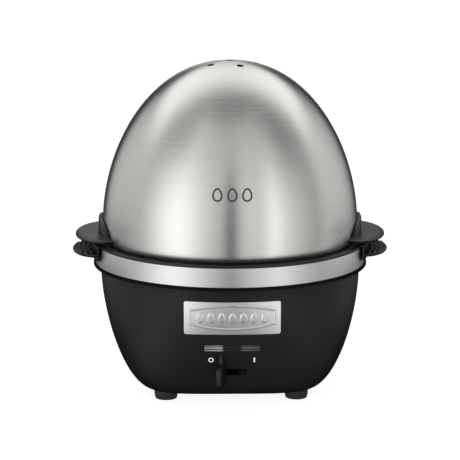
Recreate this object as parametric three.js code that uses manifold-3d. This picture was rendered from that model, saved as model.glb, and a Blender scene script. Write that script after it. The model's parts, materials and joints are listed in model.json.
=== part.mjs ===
// Electric egg cooker: a black base with a heated pan, a lower rack for seven eggs, an upper rack
// for three, and an egg-shaped steel lid.
// Millimetres, +Z up. The origin is on the table plane under the middle of the four feet.
// The front, with the switch lever, faces -Y.

import * as THREE from 'three';
import { mergeVertices } from 'three/addons/utils/BufferGeometryUtils.js';
import Module from 'manifold-3d';

const wasm = await Module();
wasm.setup();

// ---------------------------------------------------------------- driving dimensions

const LID_STEPS = 9;             // facets of the lid from its widest ring to its crown
const GAP = 0.3;                 // clearance between pieces that would otherwise touch
const ROUND = 40;                // segments of the large round pieces
const SMALL_ROUND = 12;          // segments of bosses, pins and vents
const SCREW_ROUND = 8;           // segments of screws and their holes
const PIVOT_ROUND = 24;          // segments of the lever's pin and bore

const EGG_SEAT_RADIUS = 18;      // a hen's egg is about 45 mm across and rests on its shoulder
const LOWER_SEATS = 7;
const LOWER_SEAT_CIRCLE = 53;
const UPPER_SEATS = 3;
const UPPER_SEAT_CIRCLE = 29;

const FLOOR_Z = 6;               // underside of the base housing
const HOUSING_TOP_Z = 82.5;
const HOUSING_TOP_RADIUS = 87.25;
const HOUSING_FLOOR_HALF = 56.7; // half width of the flat underside
const HOUSING_WALL = 2.5;
const CORNER_POWER_GAIN = 2.47;  // how much squarer than a circle the underside is
const CORNER_POWER_RATE = 1.3;   // how fast the housing turns from round to square going down
const LIP_RADIUS = 92.2;
const SHELF_Z = 83.5;
const SHELF_RADIUS = 82;

const BAND_Z = 85;
const BAND_HEIGHT = 12.6;
const BAND_RADIUS = 91;
const BAND_TAPER = 0.85;
const SHEET = 0.8;               // steel sheet of the band and the lid

const PAN_FLOOR_Z = 72;
const PAN_WALL_RADIUS = 88.6;
const PAN_SHEET = 1;

const RACK_FLANGE_Z = 97.7;
const RACK_TOP_Z = 99.2;
const RACK_FLANGE_RADIUS = 90.1;
const RACK_PLATE_Z = 92.5;
const RACK_PLATE = 2;
const SKIRT_RADIUS = 91.4;
const SKIRT_Z = 89;
const SKIRT_HALF_WIDTH = 27;
const SKIRT_SHEET = 1.5;
const SOCKET_RADIUS = 5.2;
const SOCKET_TOP_Z = 104;

const UPPER_PLATE_Z = 148;
const UPPER_RADIUS = 54;
const STEM_RADIUS = 3.5;
const STEM_TOP_Z = 184;

const LID_Z = 98.7;              // open edge of the lid
const LID_EDGE_RADIUS = 82.2;
const LID_WIDEST_Z = 114;
const LID_RADIUS = 85.6;
const LID_TOP_Z = 219.9;
const LID_RISE_POWER = 1.8;
const LID_SPREAD_POWER = 2.15;
const VENT_RADIUS = 2.4;
const MIDDLE_VENT_RADIUS = 3.45;
const VENT_CIRCLE = 17.1;
const VENT_TURN = 22.1;          // degrees of the first vent from the front, towards +X

// A grip is an ellipse seen from above, centred on the X axis.
const LID_GRIP = { centre: 84, length: 20.2, halfDepth: 37.5, z: 102, height: 3.2 };
const RACK_GRIP = { centre: 88, length: 18.2, halfDepth: 28, z: 91, height: 4.6 };
const BRACKET_THICKNESS = 2.7;
const BRACKET_HALF_WIDTH = 33;
const BRACKET_TOP_Z = 116.2;
const LID_SCREW_TURN = 10;       // degrees of a lid screw from the middle of its handle
const LID_SCREW_Z = 107;

const COVER_RADIUS = 34;
const COVER_OPENING = 26;
const COVER_SHEET = 1.5;
const COVER_SCREW_CIRCLE = 30;
const FOOT_PLACE = 43.2;
const FOOT_RADIUS = 7.8;
const PAN_BOSS_CIRCLE = 50;
const PAN_BOSS_TOP_Z = 47.6;

const ELEMENT_CIRCLE = 60;
const ELEMENT_RADIUS = 3.2;
const ELEMENT_Z = 68.4;
const TAB_PLACE = { x: 15.5, y: 57.5, z: 54.5 };

const LEVER_PIVOT_Y = -51;
const LEVER_Z = 25.4;
const LEVER_REST = -14;          // degrees: the lever rests at O and turns to +14 at I
const LEVER_PIN_RADIUS = 2;
const LEVER_HUB_RADIUS = 4.5;
const LEVER_HUB_BOTTOM_Z = 21.2;
const LEVER_HUB_TOP_Z = 29.4;
const LEVER_ARM = 12;            // from the pivot back to the slider's pin
const LEVER_BLADE = 3;
const LEVER_ARM_BOTTOM_Z = 23.4;
const LEVER_ARM_TOP_Z = 27.4;
const SLOT_HALF_LENGTH = 9.4;
const SLOT_HEIGHT = 4.8;
const SLOT_CORNER = 1.2;

const LENS_Z = 43;
const LENS_HALF_WIDTH = 18.1;
const LENS_HEIGHT = 4.2;
const LAMP_RADIUS = 2.6;
const LAMP_HALF_LENGTH = 11;
const LAMP_Y = -70;
const BADGE_Z = 64.1;
const BADGE_HALF_WIDTH = 31;
const BADGE_HEIGHT = 22.2;
const BADGE_CORNER = 1.7;
const GLAND_Z = 22;
const GLAND_FACE_Y = 66.5;       // flat seat of the gland's flange in the housing
const GLAND_FLANGE_RADIUS = 9.8;
const GLAND_NECK_RADIUS = 6.9;
const GLAND_BORE_RADIUS = 3.75;  // for a round mains cord 7.5 mm thick

const TERMINAL_X = -39;
const LEAD_RADIUS = 1.2;

// ---------------------------------------------------------------- materials

const finish = (color, roughness, metalness = 0, extra = {}) =>
  new THREE.MeshStandardMaterial({ color, roughness, metalness, ...extra });
const brushedSteel = finish(0xc6c5c1, 0.32, 1);
const aluminium = finish(0xb9bbbd, 0.4, 1);
const zincSteel = finish(0x9a9c9e, 0.45, 1);
const brass = finish(0xb08d4a, 0.4, 1);
const blackPlastic = finish(0x1c1c1d, 0.42);
const smokePlastic = finish(0x2b2b2d, 0.5);
const whitePlastic = finish(0xd8d6cf, 0.5);
const boardGreen = finish(0x2f5a3a, 0.6);
const rubber = finish(0x151515, 0.85);
const silicone = finish(0x8d8f8f, 0.7);
const clearPlastic = finish(0xcfd2d4, 0.12, 0, { transparent: true, opacity: 0.45 });

// ---------------------------------------------------------------- solids

// A closed geometry as a solid that can be joined and cut.
function solid(geometry) {
  const bare = new THREE.BufferGeometry();
  bare.setAttribute('position', geometry.getAttribute('position'));
  bare.setIndex(geometry.index);
  const merged = mergeVertices(bare, 1e-4);
  const corners = merged.index.array;
  const triangles = [];
  for (let i = 0; i < corners.length; i += 3) {
    const [a, b, c] = corners.slice(i, i + 3);
    if (a !== b && b !== c && c !== a) triangles.push(a, b, c);
  }
  return new wasm.Manifold(new wasm.Mesh({
    numProp: 3,
    vertProperties: new Float32Array(merged.getAttribute('position').array),
    triVerts: new Uint32Array(triangles),
  }));
}

const join = (first, ...others) => others.reduce((sum, next) => sum.add(next), first);
const cut = (first, ...others) => others.reduce((rest, next) => rest.subtract(next), first);

function namedMesh(name, body, material) {
  const { vertProperties, triVerts } = body.getMesh();
  const geometry = new THREE.BufferGeometry();
  geometry.setAttribute('position', new THREE.BufferAttribute(vertProperties, 3));
  geometry.setIndex(new THREE.BufferAttribute(triVerts, 1));
  geometry.computeVertexNormals();
  const mesh = new THREE.Mesh(geometry, material);
  mesh.name = name;
  return mesh;
}

// A turned solid about Z. The outline is a list of [radius, z], anticlockwise, from axis to axis
// or closed on itself.
function turned(outline, segments = ROUND) {
  const points = outline.map(([radius, z]) => new THREE.Vector2(radius, z));
  return new THREE.LatheGeometry(points, segments).rotateX(Math.PI / 2);
}

const turnedSolid = (outline, segments) => solid(turned(outline, segments));

const ring = (inner, outer, bottom, top, segments) => turnedSolid(
  [[inner, bottom], [outer, bottom], [outer, top], [inner, top], [inner, bottom]], segments);

// An upright round bar with its bottom at the given place.
function bar(radius, bottom, top, x = 0, y = 0, segments = SMALL_ROUND) {
  const shape = new THREE.CylinderGeometry(radius, radius, top - bottom, segments);
  return solid(shape.rotateX(Math.PI / 2).translate(x, y, (bottom + top) / 2));
}

// A round bar along Y.
function barAlongY(radius, from, to, x, z, segments = SMALL_ROUND) {
  const shape = new THREE.CylinderGeometry(radius, radius, to - from, segments);
  return solid(shape.translate(x, (from + to) / 2, z));
}

// A round bar along X.
function barAlongX(radius, from, to, y, z, segments = SMALL_ROUND) {
  const shape = new THREE.CylinderGeometry(radius, radius, to - from, segments);
  return solid(shape.rotateZ(Math.PI / 2).translate((from + to) / 2, y, z));
}

// A block given by its lowest and highest corners.
function block([x0, y0, z0], [x1, y1, z1]) {
  const shape = new THREE.BoxGeometry(x1 - x0, y1 - y0, z1 - z0);
  return solid(shape.translate((x0 + x1) / 2, (y0 + y1) / 2, (z0 + z1) / 2));
}

const extruded = (shape, depth, curveSegments = 8) =>
  new THREE.ExtrudeGeometry(shape, { depth, bevelEnabled: false, curveSegments });

// A flat outline drawn in X and Z, extruded towards -Y from y = back to y = front.
const plateAcrossY = (shape, back, front) =>
  solid(extruded(shape, back - front).rotateX(Math.PI / 2).translate(0, back, 0));

function roundedRectangle(halfWidth, halfHeight, radius) {
  const shape = new THREE.Shape();
  shape.moveTo(halfWidth, -halfHeight + radius);
  shape.absarc(halfWidth - radius, halfHeight - radius, radius, 0, Math.PI / 2);
  shape.absarc(radius - halfWidth, halfHeight - radius, radius, Math.PI / 2, Math.PI);
  shape.absarc(radius - halfWidth, radius - halfHeight, radius, Math.PI, Math.PI * 1.5);
  shape.absarc(halfWidth - radius, radius - halfHeight, radius, Math.PI * 1.5, Math.PI * 2);
  return shape;
}

// Places on a circle, the first one at the given angle from +X.
const aroundCircle = (count, radius, firstDegrees) => Array.from({ length: count }, (_, i) => {
  const angle = THREE.MathUtils.degToRad(firstDegrees + i * 360 / count);
  return [radius * Math.cos(angle), radius * Math.sin(angle)];
});

// ---------------------------------------------------------------- housing

// Going down, the housing changes from a circle to a rounded square.
function cornerPower(z) {
  const down = THREE.MathUtils.clamp((HOUSING_TOP_Z - z) / (HOUSING_TOP_Z - FLOOR_Z), 0, 1);
  return 2 + CORNER_POWER_GAIN * down ** CORNER_POWER_RATE;
}

function squareOff(geometry) {
  const place = geometry.getAttribute('position');
  for (let i = 0; i < place.count; i += 1) {
    const [x, y, z] = [place.getX(i), place.getY(i), place.getZ(i)];
    const radius = Math.hypot(x, y);
    if (radius > 0) {
      const power = cornerPower(z);
      const spread = (Math.abs(x / radius) ** power + Math.abs(y / radius) ** power) ** (1 / power);
      place.setXY(i, x / spread, y / spread);
    }
  }
  return geometry;
}

const housingSide = new THREE.CubicBezierCurve(
  new THREE.Vector2(HOUSING_FLOOR_HALF, FLOOR_Z),
  new THREE.Vector2(70.9, 10),
  new THREE.Vector2(87.5, 53.1),
  new THREE.Vector2(HOUSING_TOP_RADIUS, HOUSING_TOP_Z),
);

// The filled outside shape of the housing, made larger by the given offset.
function housingBlock(offset, steps = 8, top = HOUSING_TOP_Z) {
  const side = [];
  for (let i = 0; i <= steps; i += 1) {
    const point = housingSide.getPoint(i / steps);
    const along = housingSide.getTangent(i / steps);
    side.push([point.x + along.y * offset, point.y - along.x * offset]);
  }
  side[steps][1] = top;
  const bottom = side[0][1];
  return solid(squareOff(turned([[0, bottom], ...side, [0, top]])));
}

const housingOutside = housingBlock(0);
const panBosses = aroundCircle(3, PAN_BOSS_CIRCLE, 90);
const coverScrews = aroundCircle(3, COVER_SCREW_CIRCLE, 90);
const footPlaces = [[-1, -1], [1, -1], [-1, 1], [1, 1]];
const switchScrews = [-18, 18];
const SWITCH_SCREW_Y = -41;
const boardScrews = [-24, 24];
const BOARD_SCREW_Y = 36;
const BOARD_Z = 20;
const HOUSING_FLOOR_TOP = FLOOR_Z + HOUSING_WALL;

const glandBar = (radius, from, to) => barAlongY(radius, from, to, 0, GLAND_Z, 24);

function baseHousing() {
  const lip = turnedSolid([
    [0, HOUSING_TOP_Z - 0.5], [HOUSING_TOP_RADIUS - 0.1, HOUSING_TOP_Z - 0.5], [LIP_RADIUS, 83.2],
    [LIP_RADIUS, BAND_Z - 0.4], [LIP_RADIUS - 0.4, BAND_Z], [0, BAND_Z]]);
  const inside = housingBlock(-HOUSING_WALL, 5, HOUSING_TOP_Z - 1);
  let shell = cut(
    join(housingOutside, lip),
    inside,
    bar(SHELF_RADIUS, 80, BAND_Z + 1, 0, 0, ROUND),
    bar(PAN_WALL_RADIUS + 0.45, SHELF_Z, BAND_Z + 1, 0, 0, ROUND));

  const glandBoss = glandBar(GLAND_FLANGE_RADIUS + 2.7, 62, 90).intersect(housingOutside);
  const bossFoot = HOUSING_FLOOR_TOP - 0.5;
  shell = join(
    shell,
    glandBoss,
    bar(LEVER_HUB_RADIUS, bossFoot, LEVER_HUB_BOTTOM_Z - GAP, 0, LEVER_PIVOT_Y),
    ...panBosses.map(([x, y]) => bar(5, bossFoot, PAN_BOSS_TOP_Z, x, y)),
    ...coverScrews.map(([x, y]) => bar(3.8, bossFoot, 15, x, y)),
    ...switchScrews.map((x) => bar(3.6, bossFoot, 12, x, SWITCH_SCREW_Y)),
    ...boardScrews.map((x) => bar(3.6, bossFoot, BOARD_Z - 0.1, x, BOARD_SCREW_Y)));

  const floor = [
    bar(COVER_RADIUS + GAP, FLOOR_Z - 1, FLOOR_Z + COVER_SHEET + 0.1, 0, 0, ROUND),
    cut(bar(COVER_OPENING, FLOOR_Z, HOUSING_FLOOR_TOP + 0.4, 0, 0, 32),
      ...coverScrews.map(([x, y]) => bar(4.4, FLOOR_Z - 1, 16, x, y))),
    ...footPlaces.map(([x, y]) => bar(3.3, 0, 12, x * FOOT_PLACE, y * FOOT_PLACE)),
  ];
  const pilots = [
    ...coverScrews.map(([x, y]) => bar(1.5, 7, 13.5, x, y, SCREW_ROUND)),
    ...switchScrews.map((x) => bar(1.5, 9, 13, x, SWITCH_SCREW_Y, SCREW_ROUND)),
    ...boardScrews.map((x) => bar(1.5, 11.5, BOARD_Z + 1, x, BOARD_SCREW_Y, SCREW_ROUND)),
    ...panBosses.map(([x, y]) => bar(2.2, 5, PAN_BOSS_TOP_Z + 1, x, y, SCREW_ROUND)),
    ...panBosses.map(([x, y]) => bar(3.8, 5, 9.4, x, y, 12)),
    bar(LEVER_PIN_RADIUS + 0.2, 12, LEVER_HUB_TOP_Z, 0, LEVER_PIVOT_Y),
  ];
  const slot = roundedRectangle(SLOT_HALF_LENGTH, SLOT_HEIGHT / 2, SLOT_CORNER);
  const lensHalfHeight = LENS_HEIGHT / 2 + GAP;
  const openings = [
    plateAcrossY(slot, -60, -80).translate([0, 0, LEVER_Z]),
    block([-LENS_HALF_WIDTH - GAP, -90, LENS_Z - lensHalfHeight],
      [LENS_HALF_WIDTH + GAP, -70, LENS_Z + lensHalfHeight]),
    glandBar(GLAND_FLANGE_RADIUS + 0.5, GLAND_FACE_Y, 90),
    glandBar(GLAND_NECK_RADIUS + GAP, 55, 90),
  ];
  return cut(shell, ...floor, ...pilots, ...openings);
}

// ---------------------------------------------------------------- base pieces

function bottomCover() {
  const plate = bar(COVER_RADIUS, FLOOR_Z, FLOOR_Z + COVER_SHEET, 0, 0, ROUND);
  const holes = coverScrews.map(([x, y]) => bar(1.9, 5, 9, x, y, SCREW_ROUND));
  const vents = [-12, -4, 4, 12].map((y) => block([-14, y - 1.5, 5], [14, y + 1.5, 9]));
  return cut(plate, ...holes, ...vents);
}

// A pan-head screw standing on its head: the head is below z = 0 and the shank above it.
const screw = (shank, length, head, headHeight) => join(
  bar(head, -headHeight, 0, 0, 0, 12),
  bar(shank, -0.1, length, 0, 0, SCREW_ROUND));

// A pushed-in rubber foot: a round pad, a neck through the floor and a barb above it.
function foot(x, y) {
  const outline = [[0, 0], [FOOT_RADIUS - 0.8, 0], [FOOT_RADIUS, 0.8], [FOOT_RADIUS, 16], [0, 16]];
  const place = [x * FOOT_PLACE, y * FOOT_PLACE, 0];
  const pad = turnedSolid(outline, 24).translate(place).subtract(housingBlock(GAP));
  return join(pad, bar(2.9, FLOOR_Z - 1, 11, place[0], place[1]),
    bar(4, HOUSING_FLOOR_TOP + GAP, 10.6, place[0], place[1]));
}

function steelBand() {
  const topRadius = BAND_RADIUS - BAND_TAPER;
  const topZ = BAND_Z + BAND_HEIGHT;
  return turnedSolid([
    [BAND_RADIUS - SHEET, BAND_Z + 0.05], [BAND_RADIUS, BAND_Z + 0.05], [topRadius, topZ],
    [topRadius - SHEET, topZ], [BAND_RADIUS - SHEET, BAND_Z + 0.05]]);
}

// The water pan: a shallow dish with a shoulder that lies on the seal and a wall inside the band.
function heatingPan() {
  const under = [[0, PAN_FLOOR_Z], [66, PAN_FLOOR_Z], [73.5, 73.8], [78.8, 78.5], [80.6, BAND_Z + 0.05],
    [PAN_WALL_RADIUS, BAND_Z + 0.05], [PAN_WALL_RADIUS, 97.2]];
  const over = [[PAN_WALL_RADIUS - PAN_SHEET, 97.2], [PAN_WALL_RADIUS - PAN_SHEET, BAND_Z + 1.05],
    [79.7, BAND_Z + 1.05], [77.9, 79.2], [73.1, 74.8], [66, PAN_FLOOR_Z + PAN_SHEET],
    [0, PAN_FLOOR_Z + PAN_SHEET]];
  return turnedSolid([...under, ...over]);
}

// A threaded spacer welded under the pan, with a collar that carries the heat shield.
const panSpacer = () => cut(
  join(bar(3.2, PAN_BOSS_TOP_Z + 0.1, PAN_FLOOR_Z - 0.05, 0, 0, 12), bar(5, 50.5, 52.5, 0, 0, 12)),
  bar(2, 40, 62, 0, 0, SCREW_ROUND));

function heatShield() {
  const dish = turnedSolid([[0, 52.6], [58, 52.6], [63, 57], [62, 57.6], [57.6, 53.4], [0, 53.4]]);
  const spacers = panBosses.map(([x, y]) => bar(3.6, 40, 62, x, y, 12));
  const tabs = [-1, 1].map((side) => bar(5, 40, 60, side * TAB_PLACE.x, TAB_PLACE.y - 1));
  return cut(dish, ...spacers, ...tabs, bar(11, 40, 60, 0, 0, 24));
}

// A tube along a curve with flat ends.
function tube(points, radius, steps) {
  const section = new THREE.Shape().absarc(0, 0, radius, 0, Math.PI * 2);
  const path = new THREE.CatmullRomCurve3(points.map(([x, y, z]) => new THREE.Vector3(x, y, z)));
  return solid(new THREE.ExtrudeGeometry(section, { extrudePath: path, steps, curveSegments: 4 }));
}

// The sheathed element: an open ring under the pan floor, with its gap at the back.
function heatingElement() {
  const points = [];
  for (let degrees = 105; degrees <= 435; degrees += 15) {
    const angle = THREE.MathUtils.degToRad(degrees);
    points.push([ELEMENT_CIRCLE * Math.cos(angle), ELEMENT_CIRCLE * Math.sin(angle), ELEMENT_Z]);
  }
  return tube(points, ELEMENT_RADIUS, 30);
}

function thermostat() {
  return turnedSolid([[0, 61], [5.5, 61], [5.5, 64], [8, 64], [8, 70.5], [6.6, PAN_FLOOR_Z - 0.4],
    [0, PAN_FLOOR_Z - 0.4]], 24);
}

const thermostatStrap = () => cut(
  join(block([-24, -6, 62.6], [24, 6, 63.6]), block([-25, -6, 62.6], [-24, 6, 71.6]),
    block([24, -6, 62.6], [25, 6, 71.6])),
  bar(5.9, 60, 66, 0, 0, 24));

// ---------------------------------------------------------------- front controls

// A piece of the housing's own curved front, between two offsets from the surface.
const frontSkin = (inner, outer) => housingBlock(outer).subtract(housingBlock(inner));

function lampLens() {
  const half = LENS_HEIGHT / 2;
  const window = block([-LENS_HALF_WIDTH, -90, LENS_Z - half], [LENS_HALF_WIDTH, -60, LENS_Z + half]);
  return frontSkin(-3.4, 0.3).intersect(window);
}

const neonLamp = () => barAlongX(LAMP_RADIUS, -LAMP_HALF_LENGTH, LAMP_HALF_LENGTH, LAMP_Y, LENS_Z);

// A cradle that holds the pilot lamp behind the lens.
function lampHolder() {
  const cradle = block([-14, LAMP_Y - 3, 37.4], [14, LAMP_Y + 4, LENS_Z]);
  const end = LAMP_HALF_LENGTH + GAP;
  return cut(cradle,
    barAlongX(LAMP_RADIUS + GAP, -end, end, LAMP_Y, LENS_Z),
    block([-12, LAMP_Y - 2, 41], [12, LAMP_Y + 2, 50]));
}

function badgePlate() {
  const outline = roundedRectangle(BADGE_HALF_WIDTH, BADGE_HEIGHT / 2, BADGE_CORNER);
  return frontSkin(0.1, 1.1).intersect(plateAcrossY(outline, -60, -100).translate([0, 0, BADGE_Z]));
}

// Distance of the housing's front from the lever pivot, with room for the lever's swing.
function bladeRoot(z) {
  let share = 0;
  while (housingSide.getPoint(share).y < z) share += 0.01;
  const swing = Math.cos(THREE.MathUtils.degToRad(LEVER_REST));
  return (housingSide.getPoint(share).x + LEVER_PIVOT_Y) / swing + 0.8;
}

// The lever points along -Y from its pivot. Its blade is a flat disc with a pointed top.
function powerLever() {
  const blade = new THREE.Shape();
  blade.moveTo(bladeRoot(19), 19);
  blade.quadraticCurveTo(24.5, 16, 29, 16.8);
  blade.quadraticCurveTo(37.2, 18.4, 37, 25);
  blade.quadraticCurveTo(36.4, 31, bladeRoot(31) + 4, 32.2);
  blade.quadraticCurveTo(bladeRoot(35) + 3, 34, bladeRoot(38) + 1.4, 38.4);
  blade.lineTo(bladeRoot(38), 38.4);
  blade.lineTo(bladeRoot(28), 28);
  const disc = extruded(blade, LEVER_BLADE, 5).rotateX(Math.PI / 2).translate(0, LEVER_BLADE / 2, 0);
  const fork = cut(
    block([-4, 3, LEVER_ARM_BOTTOM_Z], [4, LEVER_ARM + 3, LEVER_ARM_TOP_Z]),
    block([-1.9, LEVER_ARM - 3, 20], [1.9, 20, 30]));
  const body = join(
    solid(disc.rotateZ(-Math.PI / 2)),
    block([-1.6, -29, LEVER_ARM_BOTTOM_Z], [1.6, -1, LEVER_ARM_TOP_Z]),
    bar(LEVER_HUB_RADIUS, LEVER_HUB_BOTTOM_Z, LEVER_HUB_TOP_Z),
    fork);
  return body.subtract(bar(LEVER_PIN_RADIUS + 0.06, 15, 35, 0, 0, PIVOT_ROUND));
}

function switchBody() {
  const ears = switchScrews.map((x) => bar(4.2, 12.1, 14.4, x, SWITCH_SCREW_Y));
  const bridge = block([-18, SWITCH_SCREW_Y - 3, 12.1], [18, SWITCH_SCREW_Y + 3, 14.4]);
  const body = join(block([-13, -45.6, 9], [13, -31.5, 19]), bridge, ...ears);
  const channel = block([-11, -41.7, 15.4], [11, -36.3, 20]);
  return cut(body, channel, ...switchScrews.map((x) => bar(1.6, 10, 16, x, SWITCH_SCREW_Y, SCREW_ROUND)));
}

const switchSlider = () => join(
  block([-4.5, -2.4, 15.7], [4.5, 2.4, 20.6]),
  bar(1.5, 20, 27));

// ---------------------------------------------------------------- cord gland and wiring

const cordGland = () => cut(
  join(glandBar(GLAND_FLANGE_RADIUS, GLAND_FACE_Y + 0.1, 69), glandBar(GLAND_NECK_RADIUS, 56, 67)),
  glandBar(GLAND_BORE_RADIUS, 50, 80));

function glandNut() {
  const nut = new THREE.CylinderGeometry(9.2, 9.2, 4, 6).translate(0, 59.7, GLAND_Z);
  return cut(solid(nut), glandBar(GLAND_NECK_RADIUS + GAP, 50, 70));
}

const terminalBlock = () => cut(block([TERMINAL_X - 5, 6, 8.8], [TERMINAL_X + 5, 30, 17]),
  ...[12, 24].map((y) => bar(2, 13, 20, TERMINAL_X, y, SCREW_ROUND)));

const leads = {
  lead_switch: [[TERMINAL_X, 5.6, 13], [TERMINAL_X, -2, 13], [-37, -16, 13.5], [-26, -27, 14],
    [-14, -34, 14]],
  lead_element: [[TERMINAL_X, 24, 17.4], [TERMINAL_X, 26, 26], [-33, 33, 34], [-24, 43, 41], [-17, 52, 49],
    [-15.5, 55.3, 57]],
  lead_return: [[14, -34, 14], [26, -27, 14], [36, -12, 16], [38, 12, 24], [30, 35, 36], [19, 50, 47],
    [15.5, 55.3, 57]],
};

// ---------------------------------------------------------------- racks

const seatHoles = (count, circle, bottom, top) => aroundCircle(count, circle, 90)
  .map(([x, y]) => bar(EGG_SEAT_RADIUS, bottom, top, x, y, 24));

// An ellipse prism on the X axis, on the side given by its sign.
function grip({ centre, length, halfDepth, z, height }, side) {
  const outline = new THREE.Shape().absellipse(side * centre, 0, length, halfDepth, 0, Math.PI * 2);
  return solid(extruded(outline, height, 18).translate(0, 0, z));
}

// The rack's handle: a skirt that hangs outside the band, and a grip on it.
function rackHandle(side) {
  const [near, far] = side > 0 ? [70, 120] : [-120, -70];
  const reach = block([near, -SKIRT_HALF_WIDTH, SKIRT_Z], [far, SKIRT_HALF_WIDTH, RACK_TOP_Z + 0.1]);
  const skirt = join(
    ring(SKIRT_RADIUS, SKIRT_RADIUS + SKIRT_SHEET, SKIRT_Z, RACK_TOP_Z),
    ring(RACK_FLANGE_RADIUS - 1, SKIRT_RADIUS + 1, RACK_FLANGE_Z, RACK_TOP_Z)).intersect(reach);
  return join(skirt, grip(RACK_GRIP, side).subtract(bar(SKIRT_RADIUS + 0.5, 80, 110, 0, 0, ROUND)));
}

function lowerEggRack() {
  const plateTop = RACK_PLATE_Z + RACK_PLATE;
  const seatZ = LID_Z - 0.1;
  const dish = turnedSolid([
    [0, RACK_PLATE_Z], [82, RACK_PLATE_Z], [82.4, 96.2], [86, RACK_FLANGE_Z],
    [RACK_FLANGE_RADIUS, RACK_FLANGE_Z], [RACK_FLANGE_RADIUS, RACK_TOP_Z], [83.6, RACK_TOP_Z],
    [83.6, seatZ], [80.2, seatZ], [80, plateTop], [0, plateTop]]);
  const socket = bar(SOCKET_RADIUS + 2.6, 88, SOCKET_TOP_Z, 0, 0, 24);
  const steamHoles = aroundCircle(LOWER_SEATS, 27, 90 + 180 / LOWER_SEATS)
    .map(([x, y]) => bar(3, 90, 97, x, y, 12));
  return cut(join(dish, socket, rackHandle(-1), rackHandle(1)),
    ...seatHoles(LOWER_SEATS, LOWER_SEAT_CIRCLE, 90, 97), ...steamHoles,
    bar(SOCKET_RADIUS, 90, 110, 0, 0, 24));
}

function upperEggRack() {
  const tray = turnedSolid([[0, UPPER_PLATE_Z], [51, UPPER_PLATE_Z], [52.4, 145.4], [UPPER_RADIUS, 145.4],
    [UPPER_RADIUS, 149.2], [UPPER_RADIUS - 0.8, 150], [0, 150]]);
  const steamHoles = aroundCircle(UPPER_SEATS, 27, 30).map(([x, y]) => bar(3.5, 140, 155, x, y, 12));
  return cut(tray, ...seatHoles(UPPER_SEATS, UPPER_SEAT_CIRCLE, 140, 155), ...steamHoles,
    bar(STEM_RADIUS + GAP, 140, 155, 0, 0, 16));
}

// The post stands in the lower rack's socket, carries the upper rack on a collar and ends in a knob.
function rackPost() {
  const radius = SOCKET_RADIUS - GAP;
  const collarTop = UPPER_PLATE_Z - 0.1;
  const knob = [[STEM_RADIUS, 173], [6, 175], [7.2, 178.5], [6, 182], [3, STEM_TOP_Z], [0, STEM_TOP_Z]];
  return turnedSolid([
    [0, 90.3], [radius - 0.5, 90.3], [radius, 90.8], [radius, 143], [8, 145.5], [8, collarTop],
    [STEM_RADIUS, collarTop], ...knob], 20);
}

// ---------------------------------------------------------------- lid

// Radius of the lid's outside at a height: a flared foot below its widest ring, an egg above it.
function lidRadius(z) {
  if (z < LID_WIDEST_Z) {
    const down = (LID_WIDEST_Z - z) / (LID_WIDEST_Z - LID_Z);
    return LID_RADIUS - (LID_RADIUS - LID_EDGE_RADIUS) * down ** 2;
  }
  const up = Math.min((z - LID_WIDEST_Z) / (LID_TOP_Z - LID_WIDEST_Z), 1);
  return LID_RADIUS * (1 - up ** LID_RISE_POWER) ** (1 / LID_SPREAD_POWER);
}

// The lid's outline from its open edge to its top, moved outwards by the given offset.
function lidOutline(offset, steps) {
  const points = [];
  for (let i = 0; i <= 3; i += 1) {
    const z = LID_Z + (LID_WIDEST_Z - LID_Z) * i / 3;
    points.push([lidRadius(z) + offset, z]);
  }
  for (let i = 1; i <= steps; i += 1) {
    const angle = Math.PI / 2 * i / steps;
    const up = 1 - (1 - Math.sin(angle)) ** 1.25;
    const z = LID_WIDEST_Z + (LID_TOP_Z - LID_WIDEST_Z) * up;
    const share = i / steps;
    points.push([Math.max(lidRadius(z) + offset * (1 - share ** 6), 0), z + offset * share ** 3]);
  }
  points[points.length - 1][0] = 0;
  return points;
}

const lidBlock = (offset) => turnedSolid([[0, LID_Z], ...lidOutline(offset, LID_STEPS)]);

// A short round bar that points away from the lid's axis, drawn on the +X side.
function radialBar(radius, length, middle, segments) {
  const shape = new THREE.CylinderGeometry(radius, radius, length, segments);
  return shape.rotateZ(Math.PI / 2).translate(middle, 0, LID_SCREW_Z);
}

const lidScrewPlaces = [-LID_SCREW_TURN, LID_SCREW_TURN, 180 - LID_SCREW_TURN, 180 + LID_SCREW_TURN];
const lidScrewHoles = lidScrewPlaces.map((degrees) =>
  solid(radialBar(1.6, 8, 83.4, 10).rotateZ(THREE.MathUtils.degToRad(degrees))));

function lidDome() {
  const outside = lidOutline(0, LID_STEPS);
  const skin = turnedSolid([...outside, ...lidOutline(-SHEET, LID_STEPS).reverse(), outside[0]]);
  const vents = aroundCircle(5, VENT_CIRCLE, VENT_TURN - 90)
    .map(([x, y]) => bar(VENT_RADIUS, 200, 230, x, y, 12));
  return cut(skin, bar(MIDDLE_VENT_RADIUS, 200, 230), ...vents, ...lidScrewHoles);
}

// A lid handle: an arched bracket that follows the lid, and a grip standing out from it.
function lidHandle(side) {
  const arch = new THREE.Shape();
  arch.absellipse(0, LID_GRIP.z, BRACKET_HALF_WIDTH, BRACKET_TOP_Z - LID_GRIP.z, 0, Math.PI);
  arch.lineTo(BRACKET_HALF_WIDTH, LID_GRIP.z);
  const prism = extruded(arch, 60, 14).rotateX(Math.PI / 2).rotateZ(Math.PI / 2).translate(50, 0, 0);
  const placed = side > 0 ? prism : prism.rotateZ(Math.PI);
  const bracket = lidBlock(GAP + BRACKET_THICKNESS).intersect(solid(placed));
  return cut(join(bracket, grip(LID_GRIP, side)), lidBlock(GAP), ...lidScrewHoles);
}

const lidScrew = () => join(solid(radialBar(2.7, 1.8, 81.8, 12)), solid(radialBar(1.3, 4.6, 84.9, 10)));

// ---------------------------------------------------------------- assembly

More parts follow.
